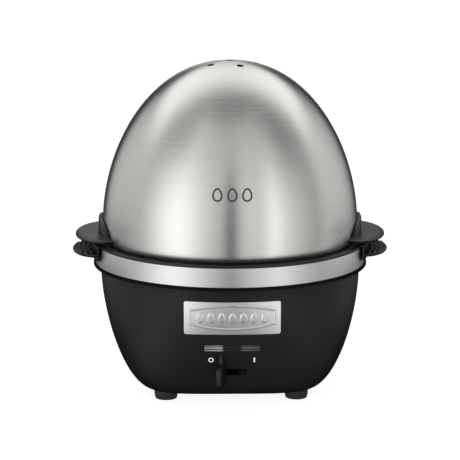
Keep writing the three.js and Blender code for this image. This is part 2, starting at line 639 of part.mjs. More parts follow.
const eggCooker = new THREE.Group();
const base = new THREE.Group();
const lever = new THREE.Group();
const lowerRack = new THREE.Group();
const upperRack = new THREE.Group();
const lid = new THREE.Group();
eggCooker.add(base, lever, lowerRack, upperRack, lid);

base.add(
  namedMesh('base_housing', baseHousing(), blackPlastic),
  namedMesh('bottom_cover', bottomCover(), smokePlastic),
  namedMesh('steel_band', steelBand(), brushedSteel),
  namedMesh('pan_seal', ring(83, 88.2, SHELF_Z + 0.05, BAND_Z - 0.05), silicone),
  namedMesh('heating_pan', heatingPan(), aluminium),
  namedMesh('heat_shield', heatShield(), aluminium),
  namedMesh('heating_element', heatingElement(), zincSteel),
  namedMesh('thermostat', thermostat(), smokePlastic),
  namedMesh('thermostat_strap', thermostatStrap(), zincSteel),
  namedMesh('thermal_fuse', barAlongX(2, -12, 12, 34, 69.6), brass),
  namedMesh('lamp_lens', lampLens(), clearPlastic),
  namedMesh('neon_lamp', neonLamp(), clearPlastic),
  namedMesh('lamp_holder', lampHolder(), smokePlastic),
  namedMesh('badge_plate', badgePlate(), brushedSteel),
  namedMesh('switch_body', switchBody(), whitePlastic),
  namedMesh('lever_pivot_pin', bar(LEVER_PIN_RADIUS, 12.3, 32, 0, LEVER_PIVOT_Y, PIVOT_ROUND), zincSteel),
  namedMesh('pivot_clip', ring(LEVER_PIN_RADIUS + 0.1, 4.2, LEVER_HUB_TOP_Z + GAP, 31, SMALL_ROUND)
    .translate([0, LEVER_PIVOT_Y, 0]), zincSteel),
  namedMesh('buzzer_board', cut(block([-30, 22, BOARD_Z], [30, 43.5, BOARD_Z + 1.6]),
    ...boardScrews.map((x) => bar(1.6, 18, 24, x, BOARD_SCREW_Y, SCREW_ROUND))), boardGreen),
  namedMesh('buzzer', bar(6, BOARD_Z + 1.7, BOARD_Z + 9, 8, 32, 20), smokePlastic),
  namedMesh('terminal_block', terminalBlock(), whitePlastic),
  namedMesh('cord_gland', cordGland(), rubber),
  namedMesh('gland_nut', glandNut(), smokePlastic),
);


for (const [name, points] of Object.entries(leads)) {
  base.add(namedMesh(name, tube(points, LEAD_RADIUS, 2 * points.length), rubber));
}

for (const [i, [x, y]] of footPlaces.entries()) {
  const name = ['foot_front_left', 'foot_front_right', 'foot_rear_left', 'foot_rear_right'][i];
  base.add(namedMesh(name, foot(x, y), rubber));
}

for (const side of [-1, 1]) {
  const tab = block([-2.5, -0.4, 0], [2.5, 0.4, 10]);
  const mesh = namedMesh(side < 0 ? 'element_tab_left' : 'element_tab_right', tab, zincSteel);
  mesh.position.set(side * TAB_PLACE.x, TAB_PLACE.y, TAB_PLACE.z);
  base.add(mesh);
}

for (const [i, [x, y]] of panBosses.entries()) {
  const spacer = namedMesh(`pan_spacer_${i + 1}`, panSpacer(), zincSteel);
  spacer.position.set(x, y, 0);
  const panScrew = namedMesh(`pan_screw_${i + 1}`, screw(1.8, 48, 3.4, 2.4), zincSteel);
  panScrew.position.set(x, y, 9.2);
  base.add(spacer, panScrew);
}

for (const [i, [x, y]] of coverScrews.entries()) {
  const coverScrew = namedMesh(`cover_screw_${i + 1}`, screw(1.3, 7, 3, 1.4), zincSteel);
  coverScrew.position.set(x, y, FLOOR_Z - 0.1);
  base.add(coverScrew);
}

// Adds a screw that is driven down from above, with its head on the given seat.
function screwFromAbove(name, length, head, headHeight, x, y, seatZ) {
  const mesh = namedMesh(name, screw(1.3, length, head, headHeight), zincSteel);
  mesh.rotation.x = Math.PI;
  mesh.position.set(x, y, seatZ);
  base.add(mesh);
}
for (const [i, x] of switchScrews.entries()) {
  screwFromAbove(`switch_screw_${i + 1}`, 5, 2.8, 1.6, x, SWITCH_SCREW_Y, 14.5);
}
for (const [i, x] of boardScrews.entries()) {
  screwFromAbove(`board_screw_${i + 1}`, 9, 2.8, 1.6, x, BOARD_SCREW_Y, BOARD_Z + 1.7);
}

const sliderTravel = LEVER_ARM * Math.sin(THREE.MathUtils.degToRad(-LEVER_REST));
lever.position.set(0, LEVER_PIVOT_Y, 0);
const powerLeverMesh = namedMesh('power_lever', powerLever(), blackPlastic);
powerLeverMesh.rotation.z = THREE.MathUtils.degToRad(LEVER_REST);
const sliderMesh = namedMesh('switch_slider', switchSlider(), whitePlastic);
sliderMesh.position.set(sliderTravel, LEVER_ARM, 0);
lever.add(powerLeverMesh, sliderMesh);

lowerRack.add(namedMesh('lower_egg_rack', lowerEggRack(), blackPlastic));

upperRack.add(
  namedMesh('upper_egg_rack', upperEggRack(), blackPlastic),
  namedMesh('rack_post', rackPost(), blackPlastic),
);

lid.add(
  namedMesh('lid_dome', lidDome(), brushedSteel),
  namedMesh('lid_handle_left', lidHandle(-1), blackPlastic),
  namedMesh('lid_handle_right', lidHandle(1), blackPlastic),
);
for (const [i, degrees] of lidScrewPlaces.entries()) {
  const mesh = namedMesh(`lid_screw_${i + 1}`, lidScrew(), zincSteel);
  mesh.rotation.z = THREE.MathUtils.degToRad(degrees);
  lid.add(mesh);
}

export default eggCooker;
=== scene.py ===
"""Egg cooker: its visible pieces, their finishes, the studio around it and the camera.

Lengths are in metres, in the row frame: +Z up, the front faces -Y, the feet stand on z = 0.
"""

import json
import math

import bmesh
import bpy
import numpy as np
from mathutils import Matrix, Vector


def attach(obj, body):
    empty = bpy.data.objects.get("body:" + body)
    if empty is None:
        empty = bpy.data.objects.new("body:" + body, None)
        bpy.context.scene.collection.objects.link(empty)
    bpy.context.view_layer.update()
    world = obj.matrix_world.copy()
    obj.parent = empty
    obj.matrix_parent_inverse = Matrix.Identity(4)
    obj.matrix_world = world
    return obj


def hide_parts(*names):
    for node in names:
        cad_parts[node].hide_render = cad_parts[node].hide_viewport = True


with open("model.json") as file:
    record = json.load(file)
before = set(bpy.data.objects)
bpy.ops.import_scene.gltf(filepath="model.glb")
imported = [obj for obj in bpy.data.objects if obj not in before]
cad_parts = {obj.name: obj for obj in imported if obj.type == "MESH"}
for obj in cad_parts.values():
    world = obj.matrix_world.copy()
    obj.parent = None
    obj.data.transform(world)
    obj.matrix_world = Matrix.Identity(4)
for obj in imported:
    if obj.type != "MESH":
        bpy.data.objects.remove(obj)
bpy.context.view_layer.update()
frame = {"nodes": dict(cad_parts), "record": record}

MM = 0.001

# ------------------------------------------------------------------ sizes, in millimetres

FLOOR_Z = 6.0
HOUSING_TOP_Z = 82.5
HOUSING_SIDE = np.array([(56.7, FLOOR_Z), (70.9, 10.0), (87.5, 53.1), (87.25, HOUSING_TOP_Z)])
HOUSING_WALL = 2.5
CORNER_POWER_GAIN = 2.47
CORNER_POWER_RATE = 1.3
LIP_RADIUS = 92.2
BAND_Z = 85.0
COVER_RADIUS = 34.0

LID_Z = 98.7
LID_EDGE_RADIUS = 82.2
LID_WIDEST_Z = 114.0
LID_RADIUS = 85.6
LID_TOP_Z = 219.9
LID_RISE_POWER = 1.8
LID_SPREAD_POWER = 2.15
LID_CURL_POWER = 7           # how late the open edge curls in
SHEET = 0.8
VENT_RADIUS = 2.4
MIDDLE_VENT_RADIUS = 3.45
VENT_CIRCLE = 17.1
VENT_TURN = 22.1             # degrees of the first vent from the front, towards +X
LID_MARK_Z = 143.4

RACK_PLATE_Z = 92.5
RACK_FLANGE_Z = 97.7
RACK_TOP_Z = 99.2
SKIRT_RADIUS = 91.4
SKIRT_HALF_WIDTH = 27.0
SKIRT_Z = 89.0
SEAT_RADIUS = 18.0
LOWER_SEATS = (7, 53.0)      # how many, and the radius of their circle
UPPER_SEATS = (3, 29.0)
UPPER_PLATE_Z = 148.0

# A grip is an ellipse seen from above, centred on the X axis.
LID_GRIP = {"centre": 84.0, "length": 20.2, "depth": 37.5, "middle": 103.6, "half_height": 1.6}
RACK_GRIP = {"centre": 88.0, "length": 18.2, "depth": 28.0, "middle": 93.1, "half_height": 2.2}
LID_GRIP_Z = 102.0
BRACKET_TOP_Z = 116.2
BRACKET_HALF_WIDTH = 33.0
BRACKET_THICKNESS = 2.7

LEVER_PIVOT_Y = -51.0
LEVER_REST = math.radians(-14)
SLOT_Z = 25.4
LENS_Z = 43.0
LENS_HALF_WIDTH = 18.1
LENS_HALF_HEIGHT = 2.1
BADGE_Z = 64.1
FRAME_HALF_WIDTH = 27.6      # the badge's raised frame
MARK_Z = 34.6
MARK_OFF_X = -13.7
MARK_ON_X = 14.3
GLAND_Z = 22.0
BOSS_CIRCLE = 50.0           # the three screw bosses on the floor
FOOT_PLACE = 43.2

FINE = 256       # segments round the large pieces
MEDIUM = 96
SMALL = 40
LID_STEPS = 90   # rows of the lid from its widest ring to its crown


# ------------------------------------------------------------------ mesh tools

def mesh_object(name, verts, faces, crease=35):
    """A mesh object from points in millimetres, shaded smooth except across sharp edges."""
    mesh = bpy.data.meshes.new(name)
    mesh.from_pydata([tuple(MM * c for c in v) for v in verts], [], faces)
    obj = bpy.data.objects.new(name, mesh)
    bpy.context.scene.collection.objects.link(obj)
    clean(obj, crease)
    return obj


def clean(obj, crease=35):
    """Merges doubled points, faces everything outwards and marks the sharp edges."""
    bm = bmesh.new()
    bm.from_mesh(obj.data)
    bmesh.ops.remove_doubles(bm, verts=bm.verts, dist=1e-6)
    bmesh.ops.dissolve_degenerate(bm, edges=bm.edges, dist=1e-7)
    bmesh.ops.recalc_face_normals(bm, faces=bm.faces)
    bm.to_mesh(obj.data)
    bm.free()
    obj.data.shade_smooth()
    obj.data.set_sharp_from_angle(angle=math.radians(crease))


def bake(obj):
    """Applies the object's modifiers to its mesh."""
    graph = bpy.context.evaluated_depsgraph_get()
    graph.update()
    result = bpy.data.meshes.new_from_object(obj.evaluated_get(graph))
    obj.modifiers.clear()
    old = obj.data
    obj.data = result
    bpy.data.meshes.remove(old)


def combine(obj, tools, operation, crease=35):
    """Joins tools to obj, or cuts them from it, and removes them."""
    for tool in tools:
        step = obj.modifiers.new("step", "BOOLEAN")
        step.operation = operation
        step.solver = "MANIFOLD"
        step.object = tool
    bake(obj)
    for tool in tools:
        bpy.data.objects.remove(tool)
    clean(obj, crease)
    return obj


def fuse(obj, voxel, rounds, crease=60):
    """Remeshes joined shapes into one skin and softens the corners, as moulding does."""
    remesh = obj.modifiers.new("remesh", "REMESH")
    remesh.mode = "VOXEL"
    remesh.voxel_size = voxel * MM
    soften = obj.modifiers.new("soften", "SMOOTH")
    soften.factor = 0.5
    soften.iterations = rounds
    bake(obj)
    clean(obj, crease)
    return obj


def fillet(outline, steps=5):
    """Rounds the corners of an outline. A point is (a, b) or (a, b, radius)."""
    points = []
    count = len(outline)
    for i, corner in enumerate(outline):
        here = np.array(corner[:2], float)
        radius = corner[2] if len(corner) > 2 else 0
        if radius == 0:
            points.append(here)
            continue
        before = np.array(outline[i - 1][:2], float) - here
        after = np.array(outline[(i + 1) % count][:2], float) - here
        before, after = before / np.linalg.norm(before), after / np.linalg.norm(after)
        half = math.acos(np.clip(before @ after, -1, 1)) / 2
        reach = radius / math.tan(half)
        middle = here + (before + after) / np.linalg.norm(before + after) * radius / math.sin(half)
        start, end = here + before * reach - middle, here + after * reach - middle
        turn = math.atan2(start[0] * end[1] - start[1] * end[0], start @ end)
        for k in range(steps + 1):
            a = turn * k / steps
            spin = np.array([[math.cos(a), -math.sin(a)], [math.sin(a), math.cos(a)]])
            points.append(middle + spin @ start)
    return [tuple(p) for p in points]


def turned_points(outline, segments, closed):
    """Points and faces of an outline of (radius, z) turned about Z."""
    verts, faces = [], []
    rows = len(outline)
    for radius, z in outline:
        for j in range(segments):
            a = 2 * math.pi * j / segments
            verts.append((radius * math.cos(a), radius * math.sin(a), z))
    for i in range(rows if closed else rows - 1):
        below, above = i * segments, (i + 1) % rows * segments
        for j in range(segments):
            k = (j + 1) % segments
            faces.append((below + j, below + k, above + k, above + j))
    return verts, faces


def turned(name, outline, segments=FINE, closed=True, crease=35):
    verts, faces = turned_points(outline, segments, closed)
    return mesh_object(name, verts, faces, crease)


def rod(radius, start, end, segments=SMALL):
    """A round tool between two points in millimetres."""
    start, end = Vector(start), Vector(end)
    length = (end - start).length
    verts, faces = turned_points([(0, 0), (radius, 0), (radius, length), (0, length)], segments, False)
    turn = (end - start).to_track_quat("Z", "Y")
    return mesh_object("tool", [turn @ Vector(v) + start for v in verts], faces)


def cuboid(low, high):
    corners = [(x, y, z) for x in (low[0], high[0]) for y in (low[1], high[1]) for z in (low[2], high[2])]
    faces = [(0, 1, 3, 2), (4, 6, 7, 5), (0, 4, 5, 1), (2, 3, 7, 6), (0, 2, 6, 4), (1, 5, 7, 3)]
    return mesh_object("tool", corners, faces)


def prism(outline, low, high, place):
    """A flat outline pushed from low to high along the third axis of place(a, b, c)."""
    count = len(outline)
    verts = [place(a, b, c) for c in (low, high) for a, b in outline]
    faces = [tuple(range(count)), tuple(range(count, 2 * count))]
    faces += [(i, (i + 1) % count, count + (i + 1) % count, count + i) for i in range(count)]
    return mesh_object("tool", verts, faces)


def around(count, radius, first=90.0):
    angles = [math.radians(first + 360 * i / count) for i in range(count)]
    return [(radius * math.cos(a), radius * math.sin(a)) for a in angles]


def shift(obj, x, y):
    for v in obj.data.vertices:
        v.co.x += x * MM
        v.co.y += y * MM
    return obj


def smooth_step(low, high, value):
    share = np.clip((value - low) / (high - low), 0, 1)
    return share * share * (3 - 2 * share)


def piece(obj, name, body, slot, material, *nodes):
    """Names a finished piece, gives it its material and hides the CAD nodes it stands for."""
    obj.name = name
    obj.data.name = name
    obj.data.materials.clear()
    obj.data.materials.append(material)
    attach(obj, body)
    if nodes:
        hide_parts(*nodes)
    return obj


# ------------------------------------------------------------------ the two main shapes

def housing_side(share):
    """Point of the housing's side curve, from the floor (0) to the top (1)."""
    a, b, c, d = HOUSING_SIDE
    rest = 1 - share
    return rest ** 3 * a + 3 * rest ** 2 * share * b + 3 * rest * share ** 2 * c + share ** 3 * d


def housing_outline(offset, steps):
    """The side curve moved outwards by the given offset, from the floor up."""
    points = []
    for i in range(steps + 1):
        share = i / steps
        ahead, behind = housing_side(min(share + 1e-4, 1)), housing_side(max(share - 1e-4, 0))
        along = (ahead - behind) / np.linalg.norm(ahead - behind)
        here = housing_side(share)
        points.append((here[0] + along[1] * offset, here[1] - along[0] * offset))
    return points


def corner_power(z):
    down = min(max((HOUSING_TOP_Z - z) / (HOUSING_TOP_Z - FLOOR_Z), 0), 1)
    return 2 + CORNER_POWER_GAIN * down ** CORNER_POWER_RATE


def square_off(point):
    """Turns the round section into the housing's rounded square, except near the middle."""
    x, y, z = point
    radius = math.hypot(x, y)
    if radius < COVER_RADIUS + 2:
        return point
    power = corner_power(z)
    spread = (abs(x / radius) ** power + abs(y / radius) ** power) ** (1 / power)
    spread **= float(smooth_step(COVER_RADIUS + 2, 52, radius))
    return x / spread, y / spread, z


SIDE_TABLE = np.array(housing_outline(0, 400))


def front_y(x, z):
    """The housing's front surface: y at a place given by x and z."""
    half = float(np.interp(z, SIDE_TABLE[:, 1], SIDE_TABLE[:, 0]))
    power = corner_power(z)
    return -half * (1 - (abs(x) / half) ** power) ** (1 / power)


def on_front(x, z, proud):
    """A point standing out from the housing's front by the given distance."""
    step = 0.5
    slope_x = (front_y(x + step, z) - front_y(x - step, z)) / (2 * step)
    slope_z = (front_y(x, z + step) - front_y(x, z - step)) / (2 * step)
    out = Vector((slope_x, -1, slope_z)).normalized()
    return Vector((x, front_y(x, z), z)) + out * proud


def lid_radius(z):
    if z < LID_WIDEST_Z:
        down = (LID_WIDEST_Z - z) / (LID_WIDEST_Z - LID_Z)
        return LID_RADIUS - (LID_RADIUS - LID_EDGE_RADIUS) * down ** LID_CURL_POWER
    up = min((z - LID_WIDEST_Z) / (LID_TOP_Z - LID_WIDEST_Z), 1)
    return LID_RADIUS * (1 - up ** LID_RISE_POWER) ** (1 / LID_SPREAD_POWER)


def lid_outline(offset, steps):
    """The lid's outline from its open edge to its crown, moved outwards by the offset."""
    base = [(lid_radius(z), z) for z in np.linspace(LID_Z, LID_WIDEST_Z, 10)]
    for i in range(1, steps + 1):
        a = math.pi / 2 * i / steps
        rise = (1 - math.cos(a) ** LID_SPREAD_POWER) ** (1 / LID_RISE_POWER)
        base.append((LID_RADIUS * math.cos(a), LID_WIDEST_Z + (LID_TOP_Z - LID_WIDEST_Z) * rise))
    base = np.array(base)
    along = np.gradient(base, axis=0)
    along[-1] = (-1, 0)
    along /= np.linalg.norm(along, axis=1)[:, None]
    moved = base + offset * np.stack([along[:, 1], -along[:, 0]], axis=1)
    moved[-1, 0] = 0
    return [tuple(p) for p in moved]


# ------------------------------------------------------------------ finishes

PLASTIC_IOR = 1.49
HOUSING_SHEEN = 0.22
HOUSING_ROUGHNESS = 0.46
# painted shade on the lip under the band starts over this height
LIP_PAINTED_SHADE = (0.0830, 0.0835)     # metres of height over which the housing's sheen ends

# Painted reflections on the pilot bar: its brightness from its left end to its right, and painted highlight lines
# from its bottom edge up.
BAR_PAINTED_LIGHT_ALONG = [(0.0, 0.60), (0.10, 0.80), (0.30, 1.00), (0.35, 0.08), (0.64, 0.06), (0.69, 0.34), (1.0, 0.20)]
BAR_PAINTED_LINES_UPWARD = [(0.0, 0.5), (0.18, 1.3), (0.28, 0.4), (0.46, 0.5), (0.56, 1.5), (0.70, 0.9), (0.86, 0.4),
              (1.0, 0.8)]


def new_material(name):
    material = bpy.data.materials.new(name)
    material.use_nodes = True
    tree = material.node_tree
    return material, tree, tree.nodes["Principled BSDF"]


def node(tree, kind, **settings):
    made = tree.nodes.new(kind)
    for key, value in settings.items():
        if key in made.inputs:
            made.inputs[key].default_value = value
        else:
            setattr(made, key, value)
    return made


def math_node(tree, operation, first, second=None):
    made = tree.nodes.new("ShaderNodeMath")
    made.operation = operation
    for socket, value in zip(made.inputs, (first, second)):
        if value is None:
            continue
        if isinstance(value, (int, float)):
            socket.default_value = value
        else:
            tree.links.new(value, socket)
    return made.outputs[0]


def product(tree, first, *others):
    for other in others:
        first = math_node(tree, "MULTIPLY", first, other)
    return first


def object_axes(tree):
    """The X, Y and Z of the object coordinates, in metres."""
    split = tree.nodes.new("ShaderNodeSeparateXYZ")
    tree.links.new(tree.nodes.new("ShaderNodeTexCoord").outputs["Object"], split.inputs[0])
    return split.outputs


def noise(tree, vector, scale, detail=3.0, roughness=0.55):
    made = tree.nodes.new("ShaderNodeTexNoise")
    made.inputs["Scale"].default_value = scale
    made.inputs["Detail"].default_value = detail
    made.inputs["Roughness"].default_value = roughness
    tree.links.new(vector, made.inputs["Vector"])
    return made.outputs["Fac"]


def spread(tree, value, low, high, low_in=0.3, high_in=0.7):
    """Maps a noise value onto a range."""
    made = tree.nodes.new("ShaderNodeMapRange")
    tree.links.new(value, made.inputs["Value"])
    for key, number in (("From Min", low_in), ("From Max", high_in), ("To Min", low), ("To Max", high)):
        made.inputs[key].default_value = number
    return made.outputs["Result"]


def tint(tree, value, dark, light, low_in=0.3, high_in=0.7):
    """A colour between two, chosen by a noise value."""
    ramp = tree.nodes.new("ShaderNodeValToRGB")
    ramp.color_ramp.elements[0].position = low_in
    ramp.color_ramp.elements[1].position = high_in
    ramp.color_ramp.elements[0].color = (*dark, 1)
    ramp.color_ramp.elements[1].color = (*light, 1)
    tree.links.new(value, ramp.inputs["Fac"])
    return ramp.outputs["Color"]


def grey_steps(tree, value, stops, scale=1.0, blue=1.0):
    """A grey chosen by a value from 0 to 1 from (place, level) stops, scaled to fit below 1."""
    made = tree.nodes.new("ShaderNodeValToRGB")
    elements = made.color_ramp.elements
    while len(elements) < len(stops):
        elements.new(0.5)
    for element, (place, level) in zip(elements, stops):
        element.position = place
        element.color = (level * scale, level * scale, level * scale * blue, 1)
    tree.links.new(value, made.inputs["Fac"])
    return made.outputs["Color"]


def bump(tree, shader, height, distance):
    made = tree.nodes.new("ShaderNodeBump")
    made.inputs["Distance"].default_value = distance
    tree.links.new(height, made.inputs["Height"])
    tree.links.new(made.outputs["Normal"], shader.inputs["Normal"])


def round_coordinates(tree, turn_scale, height_scale):
    """Object coordinates unrolled about Z: (angle, radius, height), each scaled."""
    x, y, z = object_axes(tree)
    angle = math_node(tree, "ARCTAN2", y, x)
    radius = math_node(tree, "SQRT", math_node(tree, "ADD", product(tree, x, x), product(tree, y, y)))
    joined = tree.nodes.new("ShaderNodeCombineXYZ")
    tree.links.new(product(tree, angle, turn_scale), joined.inputs[0])
    tree.links.new(product(tree, radius, height_scale), joined.inputs[1])
    tree.links.new(product(tree, z, height_scale), joined.inputs[2])
    return joined.outputs[0]


def brushed_round(name, light, dark, roughness, anisotropy, brush_depth):
    """Steel brushed in circles about Z."""
    material, tree, shader = new_material(name)
    coarse = noise(tree, round_coordinates(tree, 1.3, 900), 1.0, 4.0, 0.7)
    fine = noise(tree, round_coordinates(tree, 3.5, 4200), 1.0, 2.0, 0.6)
    lines = math_node(tree, "ADD", product(tree, coarse, 0.6), product(tree, fine, 0.4))
    tree.links.new(tint(tree, lines, dark, light, 0.36, 0.62), shader.inputs["Base Color"])
    tree.links.new(spread(tree, lines, roughness * 0.88, roughness * 1.12), shader.inputs["Roughness"])
    shader.inputs["Metallic"].default_value = 1.0
    shader.inputs["Anisotropic"].default_value = anisotropy
    shader.inputs["Anisotropic Rotation"].default_value = 0.25
    tangent = node(tree, "ShaderNodeTangent", direction_type="RADIAL", axis="Z")
    tree.links.new(tangent.outputs["Tangent"], shader.inputs["Tangent"])
    bump(tree, shader, lines, brush_depth)
    return material


def brushed_along_x(name, light, dark, roughness):
    """Steel brushed from left to right, as on a flat plate."""
    material, tree, shader = new_material(name)
    place = tree.nodes.new("ShaderNodeTexCoord").outputs["Object"]
    stretch = tree.nodes.new("ShaderNodeMapping")
    stretch.inputs["Scale"].default_value = (60, 900, 2600)
    tree.links.new(place, stretch.inputs["Vector"])
    lines = noise(tree, stretch.outputs["Vector"], 1.0, 4.0, 0.65)
    tree.links.new(tint(tree, lines, dark, light, 0.36, 0.62), shader.inputs["Base Color"])
    tree.links.new(spread(tree, lines, roughness * 0.85, roughness * 1.15), shader.inputs["Roughness"])
    shader.inputs["Metallic"].default_value = 1.0
    bump(tree, shader, lines, 2.0e-5)
    return material


def plain_metal(name, light, dark, roughness, grain=420.0):
    """Bare or plated metal with faint mottling."""
    material, tree, shader = new_material(name)
    place = tree.nodes.new("ShaderNodeTexCoord").outputs["Object"]
    mottle = noise(tree, place, grain, 5.0, 0.6)
    tree.links.new(tint(tree, mottle, dark, light), shader.inputs["Base Color"])
    tree.links.new(spread(tree, mottle, roughness * 0.8, roughness * 1.2), shader.inputs["Roughness"])
    shader.inputs["Metallic"].default_value = 1.0
    bump(tree, shader, mottle, 1.5e-5)
    return material


def moulded(name, colour, roughness, grain=2600.0, depth=2.5e-5, specular=0.5):
    """Moulded plastic or rubber: fine spark-eroded grain, slow shifts of tone and scuffed edges."""
    material, tree, shader = new_material(name)
    place = tree.nodes.new("ShaderNodeTexCoord").outputs["Object"]
    grit = noise(tree, place, grain, 2.0, 0.5)
    cloud = noise(tree, place, 28.0, 3.0, 0.5)
    dark = tuple(0.82 * c for c in colour)
    light = tuple(min(1.18 * c, 1) for c in colour)
    base = tint(tree, cloud, dark, light)
    edges = tree.nodes.new("ShaderNodeNewGeometry").outputs["Pointiness"]
    worn = tint(tree, edges, (0, 0, 0), tuple(min(c * 0.8 + 0.012, 1) for c in colour), 0.53, 0.62)
    mixer = node(tree, "ShaderNodeMixRGB", blend_type="ADD", Fac=0.5)
    tree.links.new(base, mixer.inputs["Color1"])
    tree.links.new(worn, mixer.inputs["Color2"])
    tree.links.new(mixer.outputs["Color"], shader.inputs["Base Color"])
    tree.links.new(spread(tree, cloud, roughness * 0.92, roughness * 1.08), shader.inputs["Roughness"])
    shader.inputs["Specular IOR Level"].default_value = specular
    bump(tree, shader, grit, depth)
    return material


def paint_lip_shade(material):
    """Painted shade: takes the sheen off the housing from the lip up, where the band shades it, so that the lip
    reads as a black line.
    """
    tree = material.node_tree
    shader = tree.nodes["Principled BSDF"]
    height = object_axes(tree)["Z"]
    sheen = spread(tree, height, HOUSING_SHEEN, 0.0, *LIP_PAINTED_SHADE)
    rough = spread(tree, height, HOUSING_ROUGHNESS, 1.0, *LIP_PAINTED_SHADE)
    tree.links.new(sheen, shader.inputs["Specular IOR Level"])
    tree.links.new(rough, shader.inputs["Roughness"])


def clear_plastic(name, colour, roughness, transmission):
    material, tree, shader = new_material(name)
    place = tree.nodes.new("ShaderNodeTexCoord").outputs["Object"]
    haze = noise(tree, place, 160.0, 3.0)
    tree.links.new(tint(tree, haze, tuple(0.92 * c for c in colour), colour), shader.inputs["Base Color"])
    tree.links.new(spread(tree, haze, roughness * 0.7, roughness * 1.3), shader.inputs["Roughness"])
    shader.inputs["Transmission Weight"].default_value = transmission
    shader.inputs["IOR"].default_value = PLASTIC_IOR
    return material


def bar_with_painted_light(name):
    """The pilot bar, its reflections painted into its colour: bright clear ends, the left one brighter, a dark
    middle over the lamp's window, and thin painted highlight lines along it.
    """
    material, tree, shader = new_material(name)
    axes = object_axes(tree)
    reach = LENS_HALF_WIDTH * MM
    bottom, top = (LENS_Z - LENS_HALF_HEIGHT) * MM, (LENS_Z + LENS_HALF_HEIGHT) * MM
    across = spread(tree, axes["X"], 0.0, 1.0, -reach, reach)
    upward = spread(tree, axes["Z"], 0.0, 1.0, bottom, top)
    both = node(tree, "ShaderNodeMixRGB", blend_type="MULTIPLY", Fac=1.0)
    # painted reflections along the bar, times painted highlight lines across it
    tree.links.new(grey_steps(tree, across, BAR_PAINTED_LIGHT_ALONG, blue=1.04), both.inputs["Color1"])
    tree.links.new(grey_steps(tree, upward, BAR_PAINTED_LINES_UPWARD, scale=0.5), both.inputs["Color2"])
    tree.links.new(both.outputs["Color"], shader.inputs["Base Color"])
    shader.inputs["Roughness"].default_value = 0.16
    shader.inputs["Transmission Weight"].default_value = 0.25
    shader.inputs["IOR"].default_value = PLASTIC_IOR
    return material


STEEL = brushed_round("lid_steel", (0.665, 0.655, 0.635), (0.605, 0.595, 0.575), 0.29, 0.85, 5.0e-6)
BAND_STEEL = brushed_round("band_steel", (0.66, 0.655, 0.645), (0.58, 0.575, 0.565), 0.38, 0.6, 1.0e-5)
BADGE_STEEL = brushed_along_x("badge_steel", (0.74, 0.74, 0.73), (0.64, 0.64, 0.63), 0.36)
SPUN_ALUMINIUM = brushed_round("pan_aluminium", (0.70, 0.71, 0.72), (0.60, 0.61, 0.62), 0.38, 0.6, 1.5e-5)
ZINC = plain_metal("zinc_plate", (0.58, 0.59, 0.60), (0.46, 0.47, 0.49), 0.38)
BRASS = plain_metal("fuse_brass", (0.72, 0.56, 0.28), (0.60, 0.45, 0.20), 0.35)
HOUSING_BLACK = moulded("housing_black", (0.0092, 0.0092, 0.0095), HOUSING_ROUGHNESS, specular=HOUSING_SHEEN)
# painted shade: no sheen on the lip under the band
paint_lip_shade(HOUSING_BLACK)
RACK_BLACK = moulded("rack_black", (0.008, 0.008, 0.0085), 0.38, specular=0.36)
HANDLE_BLACK = moulded("handle_black", (0.007, 0.007, 0.0092), 0.38, specular=0.32)
SMOKE = moulded("smoke_plastic", (0.03, 0.03, 0.032), 0.5)
WHITE = moulded("white_plastic", (0.70, 0.69, 0.65), 0.5)
BOARD = moulded("board_green", (0.03, 0.13, 0.06), 0.45, grain=900.0)
SILICONE = moulded("seal_silicone", (0.28, 0.29, 0.29), 0.6)
RUBBER = moulded("foot_rubber", (0.010, 0.010, 0.010), 0.72, grain=1500.0, depth=4.0e-5)
SHEATH = moulded("lead_sheath", (0.02, 0.02, 0.021), 0.5)
PRINT_WHITE = moulded("mark_white", (0.80, 0.80, 0.80), 0.55, grain=4000.0, depth=1e-5)
PRINT_DARK = moulded("mark_dark", (0.022, 0.022, 0.022), 0.5, grain=4000.0, depth=1e-5)
# the pilot bar's finish, with its reflections painted in
LENS_PAINTED_LIGHT = bar_with_painted_light("lamp_bar_painted_light")
GLASS = clear_plastic("lamp_glass", (0.95, 0.80, 0.68), 0.05, 0.9)

CAD_FINISHES = {
    "brushed_steel": BADGE_STEEL, "aluminium": SPUN_ALUMINIUM, "zinc_steel": ZINC, "brass": BRASS,
    "housing_plastic": HOUSING_BLACK, "rack_plastic": RACK_BLACK, "handle_plastic": HANDLE_BLACK,
    "smoke_plastic": SMOKE, "white_plastic": WHITE, "board": BOARD, "silicone": SILICONE,
    "rubber": RUBBER, "lead_sheath": SHEATH, "clear_plastic": LENS_PAINTED_LIGHT, "lamp_glass": GLASS,
}


def finish_cad_nodes():
    """Every CAD node gets the procedural finish of its material slot."""
    for part in frame["record"]["subparts"]:
        mesh = frame["nodes"][part["node"]].data
        mesh.materials.clear()
        mesh.materials.append(CAD_FINISHES[part["material_slot"]])
        mesh.shade_smooth()
        mesh.set_sharp_from_angle(angle=math.radians(30))


# ------------------------------------------------------------------ lid

def vent(x, y, radius):
    """A tool for a hole in the crown, wider inside, so that the thin rim reads as dark."""
    outside = np.array(lid_outline(0, LID_STEPS)[::-1])
    reach = math.hypot(x, y)
    z, below = (float(np.interp(r, outside[:, 0], outside[:, 1])) for r in (reach, reach + 1))
    out = (Vector((x, y, 0)).normalized() * (z - below) + Vector((0, 0, 1))).normalized()
    here = Vector((x, y, z))
    hole = rod(radius, here - out * 10, here + out * 8)
    wider = rod(radius + 1.3, here - out * 12, here - out * 0.3)
    return combine(hole, [wider], "UNION", 50)


def lid_dome():
    outside = lid_outline(0, LID_STEPS)
    inside = lid_outline(-SHEET, 60)[::-1]
    hem = [(outside[0][0] - SHEET * 0.3, LID_Z - 0.05)]
    dome = turned("lid_dome", hem + outside + inside, FINE, crease=50)
    vents = [vent(x, y, VENT_RADIUS) for x, y in around(5, VENT_CIRCLE, VENT_TURN - 90)]
    vents.append(vent(0, 0, MIDDLE_VENT_RADIUS))
    combine(dome, vents, "DIFFERENCE", 50)
    return piece(dome, "lid_dome_sheet", "lid", "brushed_steel", STEEL, "lid_dome")


